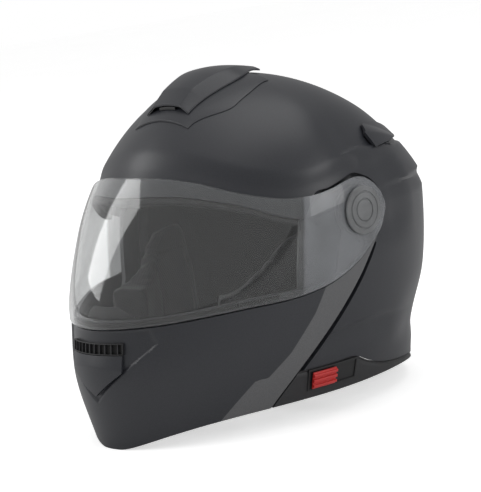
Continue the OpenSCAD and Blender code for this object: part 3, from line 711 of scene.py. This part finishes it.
def crown_slab(y0, y1, half, low, high, cols=80, rows=80):
    """A slab over the crown between two half widths and two lifts, all functions of y or of t and y."""
    y = np.linspace(y0, y1, rows + 1)[None, :]
    t = np.linspace(-1, 1, cols + 1)[:, None]
    x = t * half(y)
    top, under = crown_at(x, y, high(t, y)), crown_at(x, y, low(t, y))
    index = np.arange(top[..., 0].size).reshape(top.shape[:2])
    return thicken(top.reshape(-1, 3), under.reshape(-1, 3), grid_faces(index))


def scoop_shape():
    """A ridge with a flat top, straight sides and an open mouth in front, lower towards the back."""
    half = lambda y: 24 + 8 * ease(-58, -10, y - VENT_Y) - 12 * ease(-10, 22, y - VENT_Y)
    side = lambda t: np.clip((1 - np.abs(t)) / 0.34, 0, 1)
    fall = lambda y: 1 - 0.75 * ease(-26, 24, y - VENT_Y)
    lip = lambda y: 0.55 + 0.45 * np.clip((y - VENT_Y + 58) / 13, 0, 1)
    high = lambda t, y: 3.2 + 6.6 * side(t) * fall(y) * lip(y)
    low = lambda t, y: np.minimum(2 + 5.2 * side(t) * (1 - ease(-58, -14, y - VENT_Y)), high(t, y) - 1.5)
    return crown_slab(VENT_Y - 58, VENT_Y + 24, half, low, high)


def vent_base_shape():
    """The plate round the scoop, thin at its edges, with a shallow trough behind the scoop's corners."""
    half = lambda y: 31 + 20 * ease(-66, -34, y - VENT_Y) - 4 * ease(-20, 6, y - VENT_Y)
    high = lambda t, y: 1.7 - 1.1 * np.abs(t) ** 8 + 0 * y
    return crown_slab(VENT_Y - 66, VENT_Y + 6, half, lambda t, y: 0.3 + 0 * t * y, high, 90, 60)


def rear_vent_shape():
    """A wedge on the shell: its front edge is notched and its rear edge runs to a point."""
    def height(a, z):
        u = (a - 106) / 27
        ridge = mix(212, 194, np.clip(u, 0, 1) ** 1.4)
        return 3.9 * np.clip(np.sin(np.pi * np.clip((a - 105) / 41, 0, 1)), 0, 1) ** 0.6 \
            * np.clip((ridge - z) / 10, 0.12, 1)

    low = lambda a: mix(190.5, 192.5, np.clip((a - 108) / 38, 0, 1))
    taper = lambda a: 1 - np.clip((a - 118) / 28, 0, 1) ** 1.6
    high = lambda a: low(a) + 1 + 16 * taper(a) * (0.62 + 0.38 * ease(108, 113, a))
    return patch(108, 146, low, high, lambda a, z: -0.3 - height(a, z), 0.6, 0.9)


def chin_vent_shapes():
    """Frame, fins and near-black sheet of the slot in the chin bar; the sheet behind the fins is painted shade
    where the open slot is dark.
    """
    bars = [patch(-SLOT_HALF, SLOT_HALF, 80.6, SLOT_TOP, -0.9, 1.8, 0.8, 3),
            patch(-SLOT_HALF, SLOT_HALF, SLOT_LOW, 73.7, -0.9, 1.8, 0.8, 3)]
    bars += [patch(a, a + 0.5, 73.2, 81.2, -0.9, 1.8, 0.8) for a in (-SLOT_HALF, SLOT_HALF - 0.5)]
    fins = [patch(a - 0.22, a + 0.22, 73.6, 80.8, -0.45, 1.7, 0.8, 4) for a in np.linspace(-13.6, 13.6, 10)]
    # The last patch is a near-black sheet behind the fins: painted shade for the open slot.
    return joined(bars), joined(fins), patch(-15.8, 15.8, 73.2, 81.2, 1.2, 1.9, 1.2)


def chin_cover_shape():
    """The cover below the slot: a kite whose upper facet leans back and lower facet leans under."""
    def near(a, z):
        fold = 64.5 - 0.012 * a**2
        return -2.15 + np.where(z > fold, 1.35 * (z - fold) / 9, 1.5 * (fold - z) / 22)

    return patch(-15.5, 15.5, lambda a: 42 + 18 * np.abs(a) / 15.5, 72.6, near, 1.9, 0.8)


# ---------------------------------------------------------------- straps and buckle

def strap_shape(s, thick=1.9, width=20):
    """Flat webbing swept along a smooth line from the anchor under the lining to the buckle, with
    rolled edges. Returns the shape and its map for the weave."""
    knots = np.array([[97, 42], [90, 33], [74, 22], [54, 13.5], [38, 10]], float)
    along = np.concatenate([[0], np.cumsum(np.linalg.norm(np.diff(knots, axis=0), axis=1))])
    u = np.linspace(0, along[-1], 90)
    line = np.stack([curve(np.stack([along, knots[:, k]], 1), u) for k in (0, 1)], 1)
    way = np.gradient(line, axis=0)
    way /= np.linalg.norm(way, axis=1, keepdims=True)
    up = np.stack([way[:, 1], -way[:, 0]], 1)
    turn = np.linspace(0, 2 * math.pi, 48, endpoint=False)
    flat = np.sign(np.cos(turn)) * np.abs(np.cos(turn)) ** 0.22 * width / 2
    high = np.sign(np.sin(turn)) * np.abs(np.sin(turn)) ** 0.6 * thick / 2
    y0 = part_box("strap_left")[0].y / MM + width / 2
    points = np.stack([line[:, None, 0] + up[:, None, 0] * high, y0 + flat + 0 * line[:, :1],
                       line[:, None, 1] + up[:, None, 1] * high], -1)
    index = np.arange(points[..., 0].size).reshape(points.shape[:2])
    quads = np.stack([index[:-1], index[1:], np.roll(index[1:], -1, 1), np.roll(index[:-1], -1, 1)], -1)
    faces = quads.reshape(-1, 4).tolist() + [index[0].tolist(), index[-1, ::-1].tolist()]
    shape = (points.reshape(-1, 3), faces)
    if s < 0:
        shape = mirrored(shape)
    uv = np.stack([np.repeat(u, len(turn)), np.tile(flat, len(u))], 1) / 10
    return shape, uv


def add_map(obj, uv):
    """Writes a map for the weave from one pair of numbers per vertex."""
    mesh = obj.data
    layer = mesh.uv_layers.new(name="weave")
    corner = np.zeros(len(mesh.loops), np.int32)
    mesh.loops.foreach_get("vertex_index", corner)
    layer.data.foreach_set("uv", uv[corner].astype(np.float32).ravel())


# ---------------------------------------------------------------- padding

def swell(obj, cap, voxel, pressure=4.0, frames=20):
    """Fills a pad: it is remeshed evenly and blown up as cloth with no gravity, and no point moves
    further than the cap."""
    scene = bpy.context.scene
    remesh = obj.modifiers.new("remesh", "REMESH")
    remesh.mode = "VOXEL"
    remesh.voxel_size = voxel * MM
    apply_modifiers(obj)
    rest = vertex_array(obj.data)
    cloth = obj.modifiers.new("cloth", "CLOTH")
    cloth.settings.quality = 6
    cloth.settings.mass = 0.3
    cloth.settings.tension_stiffness = 25
    cloth.settings.compression_stiffness = 25
    cloth.settings.use_pressure = True
    cloth.settings.uniform_pressure_force = pressure
    cloth.settings.effector_weights.gravity = 0
    cloth.point_cache.frame_start = 1
    cloth.point_cache.frame_end = frames
    for f in range(1, frames + 1):
        scene.frame_set(f)
    apply_modifiers(obj)
    scene.frame_set(1)
    moved = vertex_array(obj.data) - rest
    far = np.linalg.norm(moved, axis=1, keepdims=True)
    moved *= np.minimum(1, cap * MM / np.maximum(far, 1e-9))
    obj.data.vertices.foreach_set("co", (rest + moved).astype(np.float32).ravel())
    obj.data.update()


def vertex_array(mesh):
    """Every vertex of a mesh as an array."""
    out = np.zeros(len(mesh.vertices) * 3, np.float32)
    mesh.vertices.foreach_get("co", out)
    return out.reshape(-1, 3).astype(float)


def apply_modifiers(obj):
    """Leaves the object with the mesh its modifiers make."""
    shown = obj.evaluated_get(bpy.context.evaluated_depsgraph_get())
    mesh = bpy.data.meshes.new_from_object(shown)
    old = obj.data
    obj.modifiers.clear()
    obj.data = mesh
    bpy.data.meshes.remove(old)


def seam(obj, line, width, depth):
    """Presses a stitched channel where the given function of a vertex array is near zero."""
    points = vertex_array(obj.data) / MM
    press = depth * np.exp(-((line(points) / width) ** 2))
    normals = np.zeros(len(obj.data.vertices) * 3, np.float32)
    obj.data.vertices.foreach_get("normal", normals)
    points -= press[:, None] * normals.reshape(-1, 3)
    obj.data.vertices.foreach_set("co", (points * MM).astype(np.float32).ravel())
    obj.data.update()


def pad(name, shape, body, nodes, cap=4.0, voxel=5.0, channels=(), material="cloth"):
    """A padded piece: blown up, its seams pressed in, then smoothed once."""
    obj = piece(name, shape, body, MATERIALS[material], nodes)
    swell(obj, cap, voxel)
    obj.data.shade_smooth()
    detail = obj.modifiers.new("detail", "SUBSURF")
    detail.levels = detail.render_levels = 1
    apply_modifiers(obj)
    for line, width, depth in channels:
        seam(obj, line, width, depth)
    obj.data.shade_smooth()
    return obj


def body_angle(points):
    """Angle of each point round the helmet, 0 in front and positive on the wearer's left."""
    return np.degrees(np.arctan2(points[:, 0], MID_Y - points[:, 1]))


# ---------------------------------------------------------------- operators

class Colours(bpy.types.PropertyGroup):
    """Colours of the finishes."""
    paint: bpy.props.FloatVectorProperty(
        name="Paint", description="Satin paint of the shell and chin bar", subtype="COLOR",
        default=(0.021, 0.0225, 0.028), min=0, max=1)
    stripe: bpy.props.FloatVectorProperty(
        name="Stripe", description="Paler stripe down the side of the chin bar", subtype="COLOR",
        default=(0.105, 0.106, 0.11), min=0, max=1)
    mechanism: bpy.props.FloatVectorProperty(
        name="Recess", description="Floor of the recess round the pivots", subtype="COLOR",
        default=(0.16, 0.163, 0.168), min=0, max=1)
    plastic: bpy.props.FloatVectorProperty(
        name="Plastic", description="Vents, trims and mechanism", subtype="COLOR",
        default=(0.012, 0.012, 0.013), min=0, max=1)
    accent: bpy.props.FloatVectorProperty(
        name="Accent", description="Slider, release button and buckle lever", subtype="COLOR",
        default=(0.55, 0.022, 0.02), min=0, max=1)
    lining: bpy.props.FloatVectorProperty(
        name="Lining", description="Knitted cloth of the padding", subtype="COLOR",
        default=(0.022, 0.022, 0.024), min=0, max=1)


class Sizes(bpy.types.PropertyGroup):
    """Sizes of the pieces that the CAD leaves open."""
    shell_wall: bpy.props.FloatProperty(
        name="Shell wall", description="Thickness of the outer shell in millimetres", default=3.5, min=3, max=4)
    chin_wall: bpy.props.FloatProperty(
        name="Chin bar wall", description="Thickness of the chin bar's shell in millimetres", default=3.0,
        min=2.5, max=3.4)
    edge: bpy.props.FloatProperty(
        name="Edge", description="Rounding of moulded edges in millimetres", default=0.7, min=0.2, max=1.2)
    pad_cap: bpy.props.FloatProperty(
        name="Padding", description="How far the padding may swell, in millimetres", default=4.0, min=0, max=8)


class HELMET_OT_shells(bpy.types.Operator):
    """Outer shell, its trims and the two rear vents"""
    bl_idname = "helmet.shells"
    bl_label = "Shells"

    def execute(self, context):
        sizes = context.scene.helmet_sizes
        shape, mark = shell_shape(sizes.shell_wall)
        piece("helmet_shell", shape, "shell", MATERIALS["recess_paint"], ["outer_shell"],
              sizes.edge, 32, {"recess": mark})
        u = np.linspace(-1, 1, 241)[:, None]
        t = np.linspace(0, 1, 15)[None, :]
        low, top = np.full(u.shape, 12.0), np.full(u.shape, 41.0)
        trim_a = lambda z: mix(180, chin_rear(z) + 0.2, np.abs(u))
        for _ in range(8):
            low, top = rim(trim_a(low)), curve(TRIM_TOP, trim_a(top))
        z = mix(low, top, t)
        a = np.where(u < 0, trim_a(z), 360 - trim_a(z))
        groove = 1.3 * np.exp(-(((top - z) - 1.2) / 0.9) ** 2)
        outer, inner = at(a, z, groove), at(a, z, 5)
        index = np.arange(z.size).reshape(z.shape)
        shape = thicken(outer.reshape(-1, 3), inner.reshape(-1, 3), grid_faces(index))
        piece("neck_trim_ring", shape, "shell", MATERIALS["trim"], ["neck_trim"], sizes.edge)
        seal = patch(-69, 69, lambda a: curve(BROW_LOW, np.abs(a)) - 4.5,
                     lambda a: curve(BROW_LOW, np.abs(a)) - 0.1,
                     lambda a, z: 2.6 + ease(45, 68, np.abs(a)) + 0 * z, 7.5, 1.2)
        piece("brow_seal", seal, "shell", MATERIALS["rubber"], ["eye_port_seal"], 1.2)
        for s, side in ((1, "left"), (-1, "right")):
            shape = rear_vent_shape()
            piece(f"rear_vent_cover_{side}", shape if s > 0 else mirrored(shape), "shell",
                  MATERIALS["paint"], [f"rear_vent_{side}"], 0.4, 30)
        return {"FINISHED"}


class HELMET_OT_crown_vent(bpy.types.Operator):
    """Base, scoop and slider of the crown vent"""
    bl_idname = "helmet.crown_vent"
    bl_label = "Crown vent"

    def execute(self, context):
        edge = context.scene.helmet_sizes.edge
        piece("crown_vent_base", vent_base_shape(), "shell", MATERIALS["paint"],
              ["top_vent_base"], edge)
        piece("crown_vent_scoop", scoop_shape(), "shell", MATERIALS["paint"],
              ["top_vent_scoop"], edge, 28)
        ribs = lambda t, y: 3.6 + 0.7 * (np.sin((y - VENT_Y) * 3.4) > 0) + 0 * t
        shape = crown_slab(VENT_Y - 57.4, VENT_Y - 52, lambda y: 9 + 0 * y, lambda t, y: 2.2 + 0 * t * y,
                           ribs, 24, 40)
        piece("crown_vent_slide", shape, "crown_slider", MATERIALS["plastic"],
              ["top_vent_slider"], 0.3)
        return {"FINISHED"}


class HELMET_OT_chin_bar(bpy.types.Operator):
    """Chin bar shell with its stripe, lip, vent, trim and inner parts"""
    bl_idname = "helmet.chin_bar"
    bl_label = "Chin bar"

    def execute(self, context):
        sizes = context.scene.helmet_sizes
        shape, mark = chin_bar_shape(sizes.chin_wall)
        piece("chin_shell", shape, "chin_bar", MATERIALS["chin_paint"], ["chin_bar_shell"],
              sizes.edge, 34, {"stripe": mark})
        frame_shape, fins, slot_shade_sheet = chin_vent_shapes()
        piece("chin_slot_frame", frame_shape, "chin_bar", MATERIALS["plastic"],
              ["chin_vent_frame"], 0.2)
        piece("chin_slot_fins", fins, "chin_bar", MATERIALS["trim"], (), 0.1)
        # A near-black sheet behind the fins: painted shade where the open slot is dark.
        piece("chin_slot_painted_shade", slot_shade_sheet, "chin_bar", MATERIALS["dark"])
        piece("chin_cover", chin_cover_shape(), "chin_bar", MATERIALS["paint"],
              ["chin_vent_cover"], 0.5, 20)
        trim = patch(-58, 58, rim, lambda a: rim(a) + 4, sizes.chin_wall + 0.05, 6, 1.4)
        piece("chin_edge_trim", trim, "chin_bar", MATERIALS["trim"], ["chin_bar_trim"], 0.8)
        shield = patch(-32, 32, 76.3, lambda a: mix(108, 84, ease(8, 32, np.abs(a))), 12, 13.8, 1.4)
        piece("breath_shield", shield, "chin_bar", MATERIALS["rubber"],
              ["breath_deflector"], 0.6)
        gasket = patch(-64, 64, lambda a: curve(VISOR_LOW, np.abs(a)) + 2.4,
                       lambda a: curve(VISOR_LOW, np.abs(a)) + 5.4, 1.7, 3.3, 1.2)
        piece("visor_gasket", gasket, "chin_bar", MATERIALS["rubber"], ["visor_seal"], 0.7)
        return {"FINISHED"}


class HELMET_OT_visor(bpy.types.Operator):
    """Clear visor, hazed where it covers the side mechanism"""
    bl_idname = "helmet.visor"
    bl_label = "Visor"

    def execute(self, context):
        shape, side = visor_shape()
        piece("clear_visor_sheet", shape, "visor_unit", MATERIALS["clear"], ["visor"],
              0.5, 30, {"side": side})
        return {"FINISHED"}


class HELMET_OT_controls(bpy.types.Operator):
    """Rail and ribbed slider of the sun visor, in the rim"""
    bl_idname = "helmet.controls"
    bl_label = "Controls"

    def execute(self, context):
        rail = joined([patch(72.5, 88.5, 24, 40.6, -0.1, 0.6, 1.0),
                       patch(72.5, 88.5, 38.9, 40.6, -0.9, 0.4, 1.0), patch(72.5, 88.5, 24, 25.2, -0.9,
                                                                            0.4, 1.0),
                       patch(87.9, 88.5, 24.6, 40, -0.9, 0.4, 1.0), patch(72.5, 73.1, 24.6, 40, -0.9, 0.4,
                                                                          1.0)])
        piece("slider_slot", rail, "shell", MATERIALS["plastic"], ["slider_rail"], 0.2)
        ribs = lambda a, z: -2.6 - 1.8 * (np.cos((z - 25.5) * 2 * np.pi / 4.37) < 0.25)
        shape = patch(73.6, 80.8, 25.5, 38.6, ribs, -1.4, 0.45)
        piece("slider_grip", shape, "sun_slider", MATERIALS["red"], ["sun_visor_slider"], 0.25)
        return {"FINISHED"}


class HELMET_OT_straps(bpy.types.Operator):
    """Both halves of the chin strap"""
    bl_idname = "helmet.straps"
    bl_label = "Straps"

    def execute(self, context):
        for s, side in ((1, "left"), (-1, "right")):
            shape, uv = strap_shape(s)
            obj = piece(f"chin_strap_{side}", shape, "shell", MATERIALS["webbing"],
                        [f"strap_{side}"], 0, 60)
            add_map(obj, uv)
        return {"FINISHED"}


class HELMET_OT_padding(bpy.types.Operator):
    """Crown pad, cheek pads, neck roll, chin liner and chin curtain"""
    bl_idname = "helmet.padding"
    bl_label = "Padding"

    def execute(self, context):
        cap = context.scene.helmet_sizes.pad_cap
        deep = LINER_IN
        for s, side in ((1, "left"), (-1, "right")):
            shape = patch(48, 92, 47, lambda a: mix(104, 136, ease(50, 75, np.abs(a))),
                          lambda a, z: deep + 2.5 - 14 * (1 - ease(50, 61, np.abs(a))) + 0 * z,
                          lambda a, z: deep + 10 + 6 * np.sin(np.radians(180 * (z - 40) / 110)) + 0 * a, 2.4, 26)
            edge = lambda p: np.maximum(np.abs(np.abs(body_angle(p)) - 70) - 17, np.abs(p[:, 2] - 88) - 33)
            pad(f"cheek_cushion_{side}", shape if s > 0 else mirrored(shape), "shell",
                [f"cheek_pad_{side}"], cap * 0.5, 4.5, [(edge, 1.6, 1.3)])
        roll = patch(114, 246, lambda a: np.maximum(5, rim(a) + 3.5),
                     lambda a: curve(TRIM_TOP, np.where(a > 180, 360 - a, a)) + 5.5, 8, 20, 2.4, 14)
        middle = lambda p: p[:, 2] - (np.interp(np.abs(body_angle(p)), [112, 180], [26, 10]))
        pad("neck_cushion", roll, "shell", ["neck_roll"], cap * 0.4, 4.5, [(middle, 1.6, 1.2)])
        liner = patch(-36.5, 36.5, lambda a: rim(a) + 10.5, 74.5,
                      lambda a, z: 5 + 5.6 * (1 - ease(17, 22, np.abs(a))) + 0 * z, 18.5, 2.4, 22)
        pad("chin_cushion", liner, "chin_bar", ["chin_bar_liner"], cap * 0.35, 4.5,
            [(lambda p: np.abs(body_angle(p)) - 12, 1.4, 1.0)])
        pad("crown_cushion", self.crown(), "shell", ["crown_pad"], cap * 0.4, 5,
            [(lambda p: np.sin(np.radians(body_angle(p) * 3)) * 30, 2.2, 1.6)])
        shape, length = self.curtain()
        obj = piece("wind_curtain", shape, "chin_bar", MATERIALS["cloth"], ["chin_curtain"], 0.4)
        return {"FINISHED"}

    def crown(self):
        """A bowl between two depths under the crown."""
        a = np.linspace(0, 360, 96, endpoint=False)[:, None]
        z = mix(200, CROWN_Z, np.sin(np.radians(90 * np.arange(0, 30) / 30)))[None, :]
        outer, inner = at(a, z, LINER_IN + 2), at(a, z, LINER_IN + 7.5)
        n = outer[..., 0].size
        index = np.arange(n).reshape(outer.shape[:2])
        tip = index[:, -1]
        tris = np.stack([tip, np.roll(tip, -1), np.full(len(tip), n)], -1)
        top, under = [[0, MID_Y, CROWN_Z - LINER_IN - 2]], [[0, MID_Y, CROWN_Z - LINER_IN - 7.5]]
        return thicken(np.concatenate([outer.reshape(-1, 3), top]),
                       np.concatenate([inner.reshape(-1, 3), under]),
                       grid_faces(index, wrap=True), tris)

    def curtain(self):
        """A narrow cloth shelf inside the chin bar's lower edge, sagging a little, and the length of its middle."""
        a = np.linspace(-50, 50, 101)[:, None]
        k = np.linspace(0, 1, 15)[None, :]
        p = at(a, 5, mix(50, 31, k))
        sag = 0.9 * np.sin(np.pi * k) + 0.35 * np.sin(np.radians(a * 14)) * (1 - k)
        p[..., 2] = 6.5 + 0.75 * rim(a) + 1.6 - sag * 0.5
        index = np.arange(p[..., 0].size).reshape(p.shape[:2])
        length = float(np.linalg.norm(np.diff(p[:, 7], axis=0), axis=1).sum())
        flat = p.reshape(-1, 3)
        return thicken(flat, flat - [0, 0, 1.2], grid_faces(index)), length


class HELMET_OT_finish_cad(bpy.types.Operator):
    """Finishes of the mechanism, buckle and sun visor, which keep their CAD shapes"""
    bl_idname = "helmet.finish_cad"
    bl_label = "Mechanism"

    def execute(self, context):
        looks = {
            "impact_liner": "foam", "pivot_axle_left": "steel", "pivot_axle_right": "steel",
            "latch_pin_left": "steel", "latch_pin_right": "steel", "arm_rivets": "steel",
            "latch_hook_left": "steel", "latch_hook_right": "steel", "strap_anchor_left": "steel",
            "strap_anchor_right": "steel", "sun_visor_pin_left": "steel", "sun_visor_pin_right": "steel",
            "sun_visor": "smoke", "ratchet_tongue": "plastic", "buckle_body": "steel", "buckle_lever": "red",
            "chin_hinge_arm_left": "mechanism", "chin_hinge_arm_right": "mechanism", "chin_vent_shutter": "plastic",
            "release_button": "red", "visor_plate_left": "mechanism", "visor_plate_right": "mechanism",
            "pivot_cap_left": "cap", "pivot_cap_right": "cap",
        }
        for node, look in looks.items():
            mesh = frame["nodes"][node].data
            mesh.materials.clear()
            mesh.materials.append(MATERIALS[look])
        return {"FINISHED"}


class HELMET_OT_stage(bpy.types.Operator):
    """Floor, lamps and camera"""
    bl_idname = "helmet.stage"
    bl_label = "Stage"

    def execute(self, context):
        scene = context.scene
        scene.view_settings.view_transform = "Standard"
        self.floor()
        self.world(scene)
        self.lamp("key", (-1.9, -1.5, 1.6), (0, -0.02, 0.16), 1.6, 1.8, 26)
        self.lamp("right_fill", (2.4, 0.6, 1.0), (0.05, 0, 0.13), 1.4, 1.6, 16)
        self.lamp("top", (0.2, 0.3, 2.4), (0, 0, 0.15), 1.8, 1.8, 15)
        self.camera(scene)
        return {"FINISHED"}

    def floor(self):
        """A large pale floor that shows white to the camera and keeps the shadow."""
        mesh = bpy.data.meshes.new("floor")
        size = 8.0
        mesh.from_pydata([(-size, -size, 0), (size, -size, 0), (size, size, 0), (-size, size, 0)], [],
                         [(0, 1, 2, 3)])
        obj = bpy.data.objects.new("floor", mesh)
        bpy.context.scene.collection.objects.link(obj)
        material = bpy.data.materials.new("floor_white")
        material.use_nodes = True
        nodes, links = material.node_tree.nodes, material.node_tree.links
        shader = nodes["Principled BSDF"]
        shader.inputs["Roughness"].default_value = 0.9
        links.new(ramp(nodes, links, noise(nodes, links, 3), (0.78, 0.78, 0.78), (0.82, 0.82, 0.82)),
                  shader.inputs["Base Color"])
        white = nodes.new("ShaderNodeEmission")
        white.inputs["Strength"].default_value = 0.62
        add = nodes.new("ShaderNodeAddShader")
        links.new(shader.outputs["BSDF"], add.inputs[0])
        links.new(white.outputs["Emission"], add.inputs[1])
        path = nodes.new("ShaderNodeLightPath")
        swap = nodes.new("ShaderNodeMixShader")
        links.new(path.outputs["Is Camera Ray"], swap.inputs["Fac"])
        links.new(shader.outputs["BSDF"], swap.inputs[1])
        links.new(add.outputs["Shader"], swap.inputs[2])
        links.new(swap.outputs["Shader"], nodes["Material Output"].inputs["Surface"])
        mesh.materials.append(material)

    def world(self, scene):
        """White to the camera and through clear parts, and a soft plain grey as light."""
        world = bpy.data.worlds.new("studio")
        world.use_nodes = True
        nodes, links = world.node_tree.nodes, world.node_tree.links
        background = nodes["Background"]
        path = nodes.new("ShaderNodeLightPath")
        direct = nodes.new("ShaderNodeMath")
        direct.operation = "LESS_THAN"
        direct.inputs[1].default_value = 0.5
        links.new(path.outputs["Diffuse Depth"], direct.inputs[0])
        through = nodes.new("ShaderNodeMath")
        through.operation = "MULTIPLY"
        links.new(path.outputs["Is Transmission Ray"], through.inputs[0])
        links.new(direct.outputs[0], through.inputs[1])
        seen = nodes.new("ShaderNodeMath")
        seen.operation = "MAXIMUM"
        links.new(path.outputs["Is Camera Ray"], seen.inputs[0])
        links.new(through.outputs[0], seen.inputs[1])
        level = nodes.new("ShaderNodeMapRange")
        level.inputs["To Min"].default_value = 0.45
        level.inputs["To Max"].default_value = 1.0
        links.new(seen.outputs[0], level.inputs["Value"])
        links.new(level.outputs["Result"], background.inputs["Strength"])
        background.inputs["Color"].default_value = (1, 1, 1, 1)
        scene.world = world

    def lamp(self, name, place, target, width, height, power):
        """A rectangular soft light that looks at the target."""
        data = bpy.data.lights.new(name, "AREA")
        data.shape = "RECTANGLE"
        data.size, data.size_y, data.energy = width, height, power
        obj = bpy.data.objects.new(name, data)
        obj.location = place
        obj.rotation_euler = (Vector(target) - Vector(place)).to_track_quat("-Z", "Y").to_euler()
        bpy.context.scene.collection.objects.link(obj)

    def camera(self, scene):
        """Three-quarter view from the front left, a little from above, and rolled."""
        azimuth, elevation, roll = (math.radians(v) for v in (48.29, 8.73, 7.55))
        back = Vector((math.sin(azimuth) * math.cos(elevation), -math.cos(azimuth) * math.cos(elevation),
                       math.sin(elevation)))
        right = Vector((math.cos(azimuth), math.sin(azimuth), 0))
        up = back.cross(right)
        turned = right * math.cos(roll) - up * math.sin(roll)
        risen = right * math.sin(roll) + up * math.cos(roll)
        data = bpy.data.cameras.new("camera")
        data.sensor_fit = "HORIZONTAL"
        data.sensor_width = 36
        data.lens = 134.1
        data.shift_x, data.shift_y = -0.0015, -0.0239
        obj = bpy.data.objects.new("camera", data)
        turn = Matrix((turned, risen, back)).transposed().to_4x4()
        obj.matrix_world = Matrix.Translation(Vector((0, 0.0037, 0.130)) + back * 1.4) @ turn
        scene.collection.objects.link(obj)
        scene.camera = obj


class HELMET_PT_panel(bpy.types.Panel):
    """Sizes, colours and buttons in the sidebar"""
    bl_label = "Flip-up helmet"
    bl_space_type = "VIEW_3D"
    bl_region_type = "UI"
    bl_category = "Helmet"

    def draw(self, context):
        for group in (context.scene.helmet_sizes, context.scene.helmet_colours):
            for name in group.bl_rna.properties.keys():
                if name not in ("rna_type", "name"):
                    self.layout.prop(group, name)
        for step in STEPS:
            self.layout.operator(step.bl_idname)


STEPS = (HELMET_OT_stage, HELMET_OT_shells, HELMET_OT_crown_vent, HELMET_OT_chin_bar, HELMET_OT_visor,
         HELMET_OT_controls, HELMET_OT_straps, HELMET_OT_padding, HELMET_OT_finish_cad)
CLASSES = (Colours, Sizes, *STEPS, HELMET_PT_panel)


def register():
    for cls in CLASSES:
        bpy.utils.register_class(cls)
    bpy.types.Scene.helmet_sizes = bpy.props.PointerProperty(type=Sizes)
    bpy.types.Scene.helmet_colours = bpy.props.PointerProperty(type=Colours)


def unregister():
    del bpy.types.Scene.helmet_colours
    del bpy.types.Scene.helmet_sizes
    for cls in reversed(CLASSES):
        bpy.utils.unregister_class(cls)


def main():
    register()
    make_materials(bpy.context.scene.helmet_colours)
    for step in STEPS:
        group, name = step.bl_idname.split(".")
        getattr(getattr(bpy.ops, group), name)()


if __name__ == "__main__":
    main()
